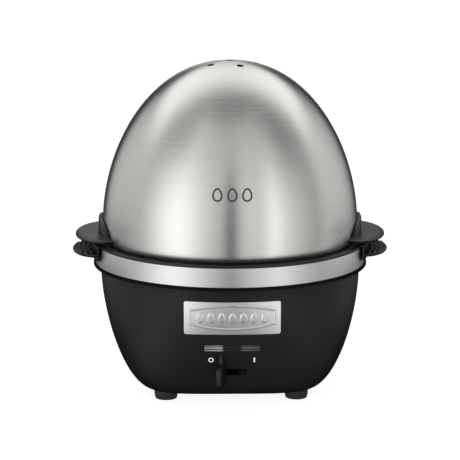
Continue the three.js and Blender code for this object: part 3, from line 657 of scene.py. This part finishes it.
def pillow(side, size, top, rings=26, segments=120):
    """A rounded ellipse slab on the X axis. top(x, y, q) is added to its upper face."""
    centre, length, depth = side * size["centre"], size["length"], size["depth"]
    middle, half_height = size["middle"], size["half_height"]
    verts, faces = [], []
    for upper in (True, False):
        for i in range(rings + 1):
            q = math.sin(math.pi / 2 * i / rings)
            edge = max(q - 0.82, 0) / 0.18
            half = half_height * math.sqrt(max(1 - edge ** 2, 0))
            for j in range(segments):
                a = 2 * math.pi * j / segments
                x, y = centre + length * q * math.cos(a), depth * q * math.sin(a)
                rise = half + top(x, y, q) * (1 - edge ** 4) if upper else -half
                verts.append((x, y, middle + rise))
    for start in (0, (rings + 1) * segments):
        for i in range(rings):
            for j in range(segments):
                k = (j + 1) % segments
                row, nxt = start + i * segments, start + (i + 1) * segments
                faces.append((row + j, row + k, nxt + k, nxt + j))
    return mesh_object("grip", verts, faces, 60)


def bracket(side):
    """The arched shield that lies on the lid behind the grip."""
    rows, columns = 36, 60
    verts, faces = [], []
    for front in (True, False):
        for i in range(rows + 1):
            up = math.sin(math.pi / 2 * i / rows)
            z = LID_GRIP_Z + (BRACKET_TOP_Z - LID_GRIP_Z) * up
            width = BRACKET_HALF_WIDTH * math.sqrt(max(1 - up ** 2, 0.0004))
            for j in range(columns + 1):
                s = -1 + 2 * j / columns
                y = s * width
                edge = (1 - abs(s) ** 12) * (1 - up ** 20)
                off = 0.3 + (BRACKET_THICKNESS * max(edge, 0) ** 0.4 if front else 0)
                radius = lid_radius(z) + off
                verts.append((side * math.sqrt(radius ** 2 - y ** 2), y, z))
    size = (rows + 1) * (columns + 1)
    for start in (0, size):
        for i in range(rows):
            for j in range(columns):
                a = start + i * (columns + 1) + j
                faces.append((a, a + 1, a + columns + 2, a + columns + 1))
    faces += border_faces(rows, columns, size)
    return mesh_object("bracket", verts, faces, 60)


def border_faces(rows, columns, size):
    """Faces that close the edge between two grids of points, the second one after the first."""
    border = ([j for j in range(columns + 1)] + [i * (columns + 1) + columns for i in range(1, rows + 1)]
              + [rows * (columns + 1) + j for j in range(columns - 1, -1, -1)]
              + [i * (columns + 1) for i in range(rows - 1, 0, -1)])
    return [(here, nxt, nxt + size, here + size) for here, nxt in zip(border, border[1:] + border[:1])]


def lid_block(offset):
    outline = lid_outline(offset, 60)
    radius, bottom = outline[0][0], outline[0][1] - 3
    return turned("tool", [(0, bottom), (radius, bottom)] + outline, FINE, closed=False)


def lid_handle(side):
    def dish(x, y, q):
        return -0.9 * (1 - q * q)

    name = "left" if side < 0 else "right"
    grip = pillow(side, LID_GRIP, dish)
    combine(grip, [bracket(side)], "UNION")
    fuse(grip, 0.4, 3)
    combine(grip, [lid_block(0.25)], "DIFFERENCE", 60)
    return piece(grip, f"lid_grip_{name}", "lid", "handle_plastic", HANDLE_BLACK, f"lid_handle_{name}")


def egg_outline(width, height, steps=40):
    """An upright egg, blunt end down, centred on its middle."""
    points = []
    for i in range(steps):
        a = 2 * math.pi * i / steps
        narrow = 1 - 0.16 * math.sin(a)
        points.append((width / 2 * math.cos(a) * narrow, height / 2 * math.sin(a)))
    return points


def ring_on_surface(outer, inner, place, low, high):
    """A raised ring between two outlines with the same number of points, laid on a surface."""
    count = len(outer)
    verts = [place(a, b, h) for h in (low, high) for line in (outer, inner) for a, b in line]
    faces = []
    for i in range(count):
        k = (i + 1) % count
        o0, n0, o1, n1 = 0, count, 2 * count, 3 * count
        faces += [(o0 + i, o0 + k, n0 + k, n0 + i), (o1 + i, o1 + k, n1 + k, n1 + i),
                  (o0 + i, o0 + k, o1 + k, o1 + i), (n0 + i, n0 + k, n1 + k, n1 + i)]
    return verts, faces


def on_lid(across, z, proud):
    radius = lid_radius(z) + proud
    angle = across / radius
    return radius * math.sin(angle), -radius * math.cos(angle), z


def lid_mark():
    """Three plain egg outlines printed on the front of the lid."""
    verts, faces = [], []
    for i in (-1, 0, 1):
        big, small = egg_outline(6.6, 8.6), egg_outline(4.4, 6.4)
        shift = 9.5 * i
        big, small = ([(a + shift, b + LID_MARK_Z) for a, b in line] for line in (big, small))
        ring = ring_on_surface(big, small, on_lid, 0.02, 0.1)
        faces += [tuple(len(verts) + n for n in face) for face in ring[1]]
        verts += ring[0]
    return piece(mesh_object("lid_mark", verts, faces), "lid_mark", "lid", "handle_plastic", PRINT_DARK)


# ------------------------------------------------------------------ racks

def seats(count, circle, bottom, top):
    return [rod(SEAT_RADIUS, (x, y, bottom), (x, y, top), 72) for x, y in around(count, circle)]


def seat_rims(count, circle, z):
    """Rounded collars round the egg seats."""
    rims = []
    for x, y in around(count, circle):
        outline = fillet([(SEAT_RADIUS - 0.4, z - 0.6), (SEAT_RADIUS + 1.6, z - 0.6),
                          (SEAT_RADIUS + 1.2, z + 0.9, 0.5), (SEAT_RADIUS - 0.4, z + 0.9, 0.4)], 3)
        rims.append(shift(turned("rim", outline, 72), x, y))
    return rims


def rack_grip(side):
    """The skirt over the band and the ribbed grip of the lower rack."""
    def ribs(x, y, q):
        reach = math.hypot(x, y)
        fade = float(smooth_step(93, 94.5, reach) * (1 - smooth_step(103.5, 105.5, reach)))
        return 1.3 * fade * (0.5 + 0.5 * math.cos(2 * math.pi * (reach - 95.6) / 2.9)) ** 1.5 - 1.0 * fade

    grip = pillow(side, RACK_GRIP, ribs, rings=60, segments=160)
    inner = rod(SKIRT_RADIUS + 0.6, (0, 0, 80), (0, 0, 110), FINE)
    combine(grip, [inner], "DIFFERENCE", 50)
    angle = math.asin(SKIRT_HALF_WIDTH / (SKIRT_RADIUS + 0.7))
    outline = fillet([(SKIRT_RADIUS, SKIRT_Z, 0.4), (SKIRT_RADIUS + 1.6, SKIRT_Z, 0.5),
                      (SKIRT_RADIUS + 1.6, RACK_TOP_Z, 0.6), (SKIRT_RADIUS - 0.5, RACK_TOP_Z - 0.1, 0.1),
                      (88.8, RACK_TOP_Z - 0.15), (88.8, RACK_FLANGE_Z + 0.15),
                      (SKIRT_RADIUS, RACK_FLANGE_Z + 0.15)], 4)
    verts, faces = [], []
    columns, rows = 48, len(outline)
    for j in range(columns + 1):
        a = -angle + 2 * angle * j / columns
        verts += [(side * r * math.cos(a), r * math.sin(a), z) for r, z in outline]
    for j in range(columns):
        for i in range(rows):
            k = (i + 1) % rows
            faces.append((j * rows + i, j * rows + k, (j + 1) * rows + k, (j + 1) * rows + i))
    faces += [tuple(range(rows)), tuple(columns * rows + i for i in range(rows))]
    skirt = mesh_object("skirt", verts, faces, 40)
    return combine(skirt, [grip], "UNION", 40)


def lower_rack():
    top = RACK_PLATE_Z + 2
    outline = fillet([
        (5.3, RACK_PLATE_Z - 4.4), (7.8, RACK_PLATE_Z - 4.4, 0.5), (7.8, RACK_PLATE_Z, 1.0),
        (82, RACK_PLATE_Z, 1.5), (82.4, 96.2, 1.0), (86, RACK_FLANGE_Z, 0.8), (90.1, RACK_FLANGE_Z, 0.3),
        (90.1, RACK_TOP_Z, 0.5), (83.6, RACK_TOP_Z, 0.3), (83.6, LID_Z - 0.1, 0.2), (80.2, LID_Z - 0.1, 0.6),
        (80, top, 1.2), (7.8, top, 1.0), (7.4, 104, 0.7), (5.2, 104, 0.5)], 4)
    rack = turned("rack", outline, FINE)
    combine(rack, seat_rims(*LOWER_SEATS, top), "UNION")
    drains = [rod(3, (x, y, 88), (x, y, 99), 24) for x, y in around(7, 27, 90 + 180 / 7)]
    combine(rack, seats(*LOWER_SEATS, 88, 99) + drains, "DIFFERENCE")
    combine(rack, [rack_grip(-1), rack_grip(1)], "UNION", 40)
    return piece(rack, "lower_rack_moulding", "lower_rack", "rack_plastic", RACK_BLACK, "lower_egg_rack")


def upper_rack():
    low, high = UPPER_PLATE_Z, UPPER_PLATE_Z + 2
    outline = fillet([(3.8, low), (51, low, 0.8), (52.4, 145.4, 0.4), (54, 145.4, 0.5), (54, high, 1.0),
                      (52, 150.4, 0.3), (51, high, 0.3), (3.8, high)], 4)
    rack = turned("tray", outline, FINE)
    combine(rack, seat_rims(*UPPER_SEATS, high), "UNION")
    drains = [rod(5, (x, y, 140), (x, y, 158)) for x, y in around(3, 27, 30)]
    combine(rack, seats(*UPPER_SEATS, 140, 158) + drains, "DIFFERENCE")
    piece(rack, "upper_rack_tray", "upper_rack", "rack_plastic", RACK_BLACK, "upper_egg_rack")
    post = turned("post", fillet([
        (0, 90.3), (4.9, 90.3, 0.8), (4.9, 143, 2.0), (8, 145.5, 0.6), (8, 147.9, 0.4), (3.5, 147.9),
        (3.5, 172, 2.0), (6.6, 175, 2.0), (7.2, 178.5, 3.0), (6, 183, 2.5), (0, 184)], 6), MEDIUM, closed=False)
    piece(post, "rack_post_turned", "upper_rack", "rack_plastic", RACK_BLACK, "rack_post")


# ------------------------------------------------------------------ base

def steel_band():
    outline = fillet([(90.2, 85.05), (91.0, 85.05, 0.3), (90.15, 97.6, 0.35), (89.35, 97.6, 0.2)], 5)
    band = turned("band", outline, FINE)
    return piece(band, "steel_band_ring", "base", "brushed_steel", BAND_STEEL, "steel_band")


def heating_pan():
    outline = fillet([
        (0, 72), (66, 72, 6), (78.8, 78.5, 6), (80.6, 85.05, 0.8), (88.6, 85.05, 0.8), (88.6, 97.2, 0.4),
        (87.6, 97.2, 0.4), (87.6, 86.05, 1.0), (79.7, 86.05, 1.0), (77.9, 79.2, 6), (65.8, 73, 6), (0, 73)], 8)
    pan = turned("pan", outline, FINE, closed=False)
    return piece(pan, "heating_pan_pressing", "base", "aluminium", SPUN_ALUMINIUM, "heating_pan")


def housing_solid(offset, top=HOUSING_TOP_Z):
    side = housing_outline(offset, 60)
    outline = [(0, side[0][1]), (45, side[0][1])] + side[:-1] + [(side[-1][0], top), (0, top)]
    verts, faces = turned_points(outline, FINE, False)
    return mesh_object("tool", [square_off(v) for v in verts], faces)


def base_housing():
    lip = fillet([(87.35, HOUSING_TOP_Z - 0.3), (LIP_RADIUS, 83.1, 0.6), (LIP_RADIUS, BAND_Z, 0.6),
                  (89.05, BAND_Z), (89.05, 83.5), (82, 83.5), (82, 81.2)], 4)
    floor_top = FLOOR_Z + HOUSING_WALL
    outline = ([(COVER_RADIUS + 0.3, FLOOR_Z), (46, FLOOR_Z)] + housing_outline(0, 70)[:-1] + lip
               + housing_outline(-HOUSING_WALL, 40)[::-1][1:]
               + [(46, floor_top), (26, floor_top), (26, 7.6), (COVER_RADIUS + 0.3, 7.6)])
    verts, faces = turned_points(outline, FINE, True)
    housing = mesh_object("housing", [square_off(v) for v in verts], faces, 40)

    boss = rod(12.5, (0, 62, GLAND_Z), (0, 90, GLAND_Z), 64)
    combine(boss, [housing_solid(-0.02)], "INTERSECT")
    bosses = [rod(5, (x, y, 8), (x, y, 47.6)) for x, y in around(3, BOSS_CIRCLE)]
    bosses.append(rod(4.5, (0, LEVER_PIVOT_Y, 8), (0, LEVER_PIVOT_Y, 20.9)))
    combine(housing, [boss] + bosses, "UNION", 40)

    slot = fillet([(9.4, 2.4, 1.2), (-9.4, 2.4, 1.2), (-9.4, -2.4, 1.2), (9.4, -2.4, 1.2)], 6)
    window = fillet([(18.4, 2.4, 0.6), (-18.4, 2.4, 0.6), (-18.4, -2.4, 0.6), (18.4, -2.4, 0.6)], 4)
    cutters = [
        prism(slot, -85, -60, lambda a, b, c: (a, c, b + SLOT_Z)),
        prism(window, -90, -70, lambda a, b, c: (a, c, b + LENS_Z)),
        rod(10.3, (0, 66.5, GLAND_Z), (0, 95, GLAND_Z), 64),
        rod(7.2, (0, 55, GLAND_Z), (0, 95, GLAND_Z), 48),
    ]
    cutters += [rod(3.8, (x, y, 4), (x, y, 9.4)) for x, y in around(3, BOSS_CIRCLE)]
    combine(housing, cutters, "DIFFERENCE", 40)
    return piece(housing, "base_housing_shell", "base", "housing_plastic", HOUSING_BLACK, "base_housing")


def feet():
    outline = fillet([(0, 0.6), (4.6, 0.6, 0.4), (5.2, 0, 0.3), (7.1, 0, 0.7), (7.8, 3.2, 2.0), (7.5, 14),
                      (0, 14)], 5)
    for end, sy in (("front", -1), ("rear", 1)):
        for side, sx in (("left", -1), ("right", 1)):
            foot = shift(turned("foot", outline, 64, closed=False), sx * FOOT_PLACE, sy * FOOT_PLACE)
            combine(foot, [housing_solid(0.05)], "DIFFERENCE")
            piece(foot, f"foot_{end}_{side}_pad", "base", "rubber", RUBBER, f"foot_{end}_{side}")


def sheet_on_front(half_width, half_height, centre_z, corner, relief, back, columns, rows):
    """A plate that follows the housing's front. relief(x, z, inside) is its outer face's height."""
    verts, faces = [], []
    for outer in (True, False):
        for i in range(rows + 1):
            for j in range(columns + 1):
                a, b = -1 + 2 * j / columns, -1 + 2 * i / rows
                x, z = a * half_width, b * half_height
                over_x, over_z = max(abs(x) - half_width + corner, 0), max(abs(z) - half_height + corner, 0)
                reach = math.hypot(over_x, over_z)
                if over_x > 0 and over_z > 0 and reach > corner:
                    x -= math.copysign(over_x * (1 - corner / reach), x)
                    z -= math.copysign(over_z * (1 - corner / reach), z)
                inside = edge_distance(x, z, half_width, half_height, corner)
                proud = relief(x, z, inside) if outer else back
                verts.append(on_front(x, z + centre_z, proud))
    size = (rows + 1) * (columns + 1)
    for start in (0, size):
        for i in range(rows):
            for j in range(columns):
                a = start + i * (columns + 1) + j
                faces.append((a, a + 1, a + columns + 2, a + columns + 1))
    faces += border_faces(rows, columns, size)
    return mesh_object("plate", verts, faces, 50)


def edge_distance(x, z, half_width, half_height, corner):
    """Distance of a point inside a rounded rectangle from its edge."""
    dx, dz = abs(x) - half_width + corner, abs(z) - half_height + corner
    outside = math.hypot(max(dx, 0), max(dz, 0)) + min(max(dx, dz), 0)
    return corner - outside


def egg_distance(x, z, half_width, half_height):
    """About how far a point is inside an upright egg; negative outside."""
    lean = 1 - 0.16 * z / half_height
    q = math.hypot(x / (half_width * lean), z / half_height)
    return (1 - q) * half_width


def badge_plate():
    """A steel plate with a raised barrel-shaped frame round a row of plain raised eggs."""
    def relief(x, z, inside):
        rounded = 0.35 * math.sqrt(max(1 - (1 - min(inside / 0.35, 1)) ** 2, 0))
        half_height = 8.5 - 3.6 * (x / FRAME_HALF_WIDTH) ** 2
        frame_in = min(FRAME_HALF_WIDTH - abs(x), half_height - abs(z - 0.6))
        ridge = 0.6 * float(smooth_step(0.0, 0.5, frame_in) * (1 - smooth_step(0.9, 1.4, frame_in)))
        eggs = max(egg_distance(x - 6.9 * k, z - 0.4, 2.3, 3.6) for k in range(-3, 4))
        return 0.55 + rounded + ridge + 0.6 * float(smooth_step(0.0, 0.7, eggs))

    plate = sheet_on_front(31, 11.1, BADGE_Z, 1.7, relief, 0.05, 248, 90)
    return piece(plate, "badge_plate_embossed", "base", "brushed_steel", BADGE_STEEL, "badge_plate")


def lamp_bar():
    """The clear bar of the pilot light: a bowed front with a moulded groove along it."""
    def relief(x, z, inside):
        edge = 0.45 * math.sqrt(max(1 - (1 - min(inside / 0.45, 1)) ** 2, 0))
        groove = 0.18 * math.exp(-((z + 0.55) / 0.3) ** 2)
        return edge - groove

    bar = sheet_on_front(LENS_HALF_WIDTH, LENS_HALF_HEIGHT, LENS_Z, 0.9, relief, -3.0, 120, 24)
    return piece(bar, "lamp_bar", "base", "clear_plastic", LENS_PAINTED_LIGHT, "lamp_lens")


def switch_marks():
    """A raised ring for off and a raised bar for on."""
    outer, inner = ([(a + MARK_OFF_X, b + MARK_Z) for a, b in around(48, radius, 0)] for radius in (1.75, 1.0))
    verts, faces = ring_on_surface(outer, inner, on_front, 0.0, 0.08)
    piece(mesh_object("off", verts, faces), "mark_off", "base", "white_plastic", PRINT_WHITE)
    outline = fillet([(0.5, -1.7, 0.25), (0.5, 1.7, 0.25), (-0.5, 1.7, 0.25), (-0.5, -1.7, 0.25)], 4)
    bar = prism([(a + MARK_ON_X, b + MARK_Z) for a, b in outline], 0.0, 0.08, on_front)
    piece(bar, "mark_on", "base", "white_plastic", PRINT_WHITE)


def power_lever():
    """The lever is drawn pointing along -Y from its pivot, then turned to its rest angle."""
    def root(z):
        half = float(np.interp(z, SIDE_TABLE[:, 1], SIDE_TABLE[:, 0]))
        return (half + LEVER_PIVOT_Y) / math.cos(LEVER_REST) + 0.8

    blade = [(root(19), 19, 1.5), (23.6, 16.9, 3), (29, 16.2, 5), (35.6, 17.6, 5), (37.2, 24.6, 8),
             (35.6, 31, 4), (root(32) + 3.6, 32.6, 2), (root(36) + 2.2, 36, 3), (root(39) + 1.2, 39.7, 0.5),
             (root(39), 39.7, 0.3), (root(28), 28)]
    lever = prism(fillet(blade, 6), -1.5, 1.5,
                  lambda a, b, c: (c * float(np.interp(b, [24, 28, 39.7], [1.0, 1.35, 0.4])), -a, b))
    edge = lever.modifiers.new("edge", "BEVEL")
    edge.width = 0.7 * MM
    edge.segments = 4
    bake(lever)
    clean(lever)
    parts = [cuboid((-1.6, -29, 23.4), (1.6, -1, 27.4)), rod(4.5, (0, 0, 21.2), (0, 0, 29.4), 48),
             cuboid((-4, 3, 23.4), (4, 15, 27.4))]
    combine(lever, parts, "UNION")
    fuse(lever, 0.3, 2)
    bore, fork = rod(2.06, (0, 0, 15), (0, 0, 35), 48), cuboid((-1.9, 9, 20), (1.9, 20, 30))
    combine(lever, [bore, fork], "DIFFERENCE", 50)
    cos, sin = math.cos(LEVER_REST), math.sin(LEVER_REST)
    for v in lever.data.vertices:
        x, y = v.co.x, v.co.y
        v.co.x, v.co.y = x * cos - y * sin, x * sin + y * cos + LEVER_PIVOT_Y * MM
    return piece(lever, "power_lever_moulding", "lever", "housing_plastic", RACK_BLACK, "power_lever")


def cord_gland():
    """The rubber gland for the mains cord: a stepped flange with a tapered collar."""
    outline = fillet([(3.75, 56, 0.4), (6.9, 56, 0.6), (6.9, 66.6), (9.8, 66.6, 0.4), (9.8, 68.0, 0.8),
                      (6.4, 69.0, 0.5), (3.75, 69.0, 0.5)], 5)
    gland = turned("gland", outline, 64)
    for v in gland.data.vertices:
        v.co = (v.co.x, v.co.z, GLAND_Z * MM - v.co.y)
    clean(gland)
    return piece(gland, "cord_gland_moulding", "base", "rubber", RUBBER, "cord_gland")


# ------------------------------------------------------------------ studio

# How bright the studio looks at each azimuth, in degrees from the camera's side towards +X.
LEVEL_LIGHT = [
    (-180, 0.60), (-175, 0.50), (-168, 0.02), (-155, 0.04), (-143, 0.60), (-129, 0.74), (-107, 0.74),
    (-88, 0.70), (-76, 1.05), (-63, 1.55), (-50, 1.85), (-39, 1.60), (-27, 1.15), (-16, 0.85), (-8, 0.72),
    (-4, 0.30), (0, 0.06), (4, 0.36), (9, 0.85), (16, 1.00), (27, 0.95), (39, 1.65), (50, 1.15), (63, 0.85),
    (83, 0.50), (99, 0.80), (117, 0.80), (130, 0.70), (143, 0.46), (155, 0.04), (168, 0.02), (180, 0.60)]
RAISED_LIGHT = [
    (-180, 0.10), (-157, 0.05), (-146, 0.10), (-134, 0.35), (-115, 0.80), (-105, 0.62), (-80, 0.26),
    (-60, 0.45), (-46, 0.90), (-20, 0.78), (0, 0.80), (28, 0.78), (46, 0.60), (60, 0.28), (72, 0.12),
    (85, 0.20), (105, 0.62), (115, 0.80), (134, 0.35), (146, 0.10), (157, 0.05), (180, 0.10)]
PANEL_LIGHT = 1.42


def light_ring(tree, turn, levels):
    return grey_steps(tree, turn, [(azimuth / 360 + 0.5, level) for azimuth, level in levels], scale=0.5)


def step_up(tree, value, low, high, bottom=0.0, top=1.0):
    made = tree.nodes.new("ShaderNodeMapRange")
    made.interpolation_type = "SMOOTHSTEP"
    tree.links.new(value, made.inputs["Value"])
    for key, number in (("From Min", low), ("From Max", high), ("To Min", bottom), ("To Max", top)):
        made.inputs[key].default_value = number
    return made.outputs["Result"]


def studio_air():
    """A level ring of light, a raised ring above it, and one panel overhead, behind the lid."""
    world = bpy.data.worlds.new("studio_air")
    bpy.context.scene.world = world
    world.use_nodes = True
    tree = world.node_tree
    split = tree.nodes.new("ShaderNodeSeparateXYZ")
    tree.links.new(tree.nodes.new("ShaderNodeTexCoord").outputs["Generated"], split.inputs[0])
    x, y, z = split.outputs
    turn = math_node(tree, "ARCTAN2", x, product(tree, y, -1.0))
    turn = math_node(tree, "ADD", product(tree, turn, 1 / (2 * math.pi)), 0.5)

    rings = node(tree, "ShaderNodeMixRGB", blend_type="MIX")
    tree.links.new(step_up(tree, z, 0.25, 0.65), rings.inputs["Fac"])
    tree.links.new(light_ring(tree, turn, LEVEL_LIGHT), rings.inputs["Color1"])
    tree.links.new(light_ring(tree, turn, RAISED_LIGHT), rings.inputs["Color2"])
    low_behind = product(tree, step_up(tree, y, -0.10, 0.50, 0.05, 1.0), step_up(tree, z, -0.30, -0.08, 1.0, 0.0))
    overhead = step_up(tree, z, 0.85, 0.95, 1.0, 0.10)
    underneath = step_up(tree, z, -0.90, -0.35, 0.30, 1.0)
    level = product(tree, rings.outputs["Color"], 2.0, math_node(tree, "SUBTRACT", 1.0, low_behind),
                    overhead, underneath)
    panel = product(tree, step_up(tree, y, 0.03, 0.24), step_up(tree, z, 0.35, 0.60), PANEL_LIGHT)
    level = math_node(tree, "MAXIMUM", level, panel)

    around_object = tree.nodes["Background"]
    tree.links.new(level, around_object.inputs["Color"])
    white = node(tree, "ShaderNodeBackground", Color=(1, 1, 1, 1), Strength=1.0)
    path = tree.nodes.new("ShaderNodeLightPath")
    mixer = tree.nodes.new("ShaderNodeMixShader")
    tree.links.new(path.outputs["Is Camera Ray"], mixer.inputs[0])
    tree.links.new(around_object.outputs[0], mixer.inputs[1])
    tree.links.new(white.outputs[0], mixer.inputs[2])
    tree.links.new(mixer.outputs[0], tree.nodes["World Output"].inputs["Surface"])


def studio_floor():
    """A pale floor, lit from within so that it stays white, and left out of reflections."""
    material, tree, shader = new_material("studio_paper")
    place = tree.nodes.new("ShaderNodeTexCoord").outputs["Object"]
    paper = tint(tree, noise(tree, place, 3.0), (0.30, 0.30, 0.30), (0.32, 0.32, 0.32))
    tree.links.new(paper, shader.inputs["Base Color"])
    shader.inputs["Roughness"].default_value = 1.0
    shader.inputs["Specular IOR Level"].default_value = 0.0
    shader.inputs["Emission Color"].default_value = (1, 1, 1, 1)
    shader.inputs["Emission Strength"].default_value = 0.90
    reach = 20000
    verts = [(x, y, 0) for x in (-reach, reach) for y in (-reach, reach)]
    floor = mesh_object("studio_floor", verts, [(0, 2, 3, 1)])
    floor.data.materials.append(material)
    floor.visible_glossy = False
    floor.visible_diffuse = False


def camera():
    """Level with the lid's upper half and 1.35 m away, looking down a little."""
    turn, pitch, distance, height = math.radians(-1.05), math.radians(11.21), 1.35, 0.3723
    data = bpy.data.cameras.new("camera")
    data.sensor_width = 36
    data.lens = 159.35
    data.clip_end = 100
    obj = bpy.data.objects.new("camera", data)
    obj.location = (distance * math.sin(turn), -distance * math.cos(turn), height)
    obj.rotation_euler = (math.pi / 2 - pitch, 0, turn)
    bpy.context.scene.collection.objects.link(obj)
    bpy.context.scene.camera = obj


bpy.context.scene.view_settings.view_transform = "Standard"
camera()
studio_air()
studio_floor()
finish_cad_nodes()
lid_dome()
lid_handle(-1)
lid_handle(1)
lid_mark()
lower_rack()
upper_rack()
steel_band()
heating_pan()
base_housing()
feet()
badge_plate()
lamp_bar()
switch_marks()
power_lever()
cord_gland()
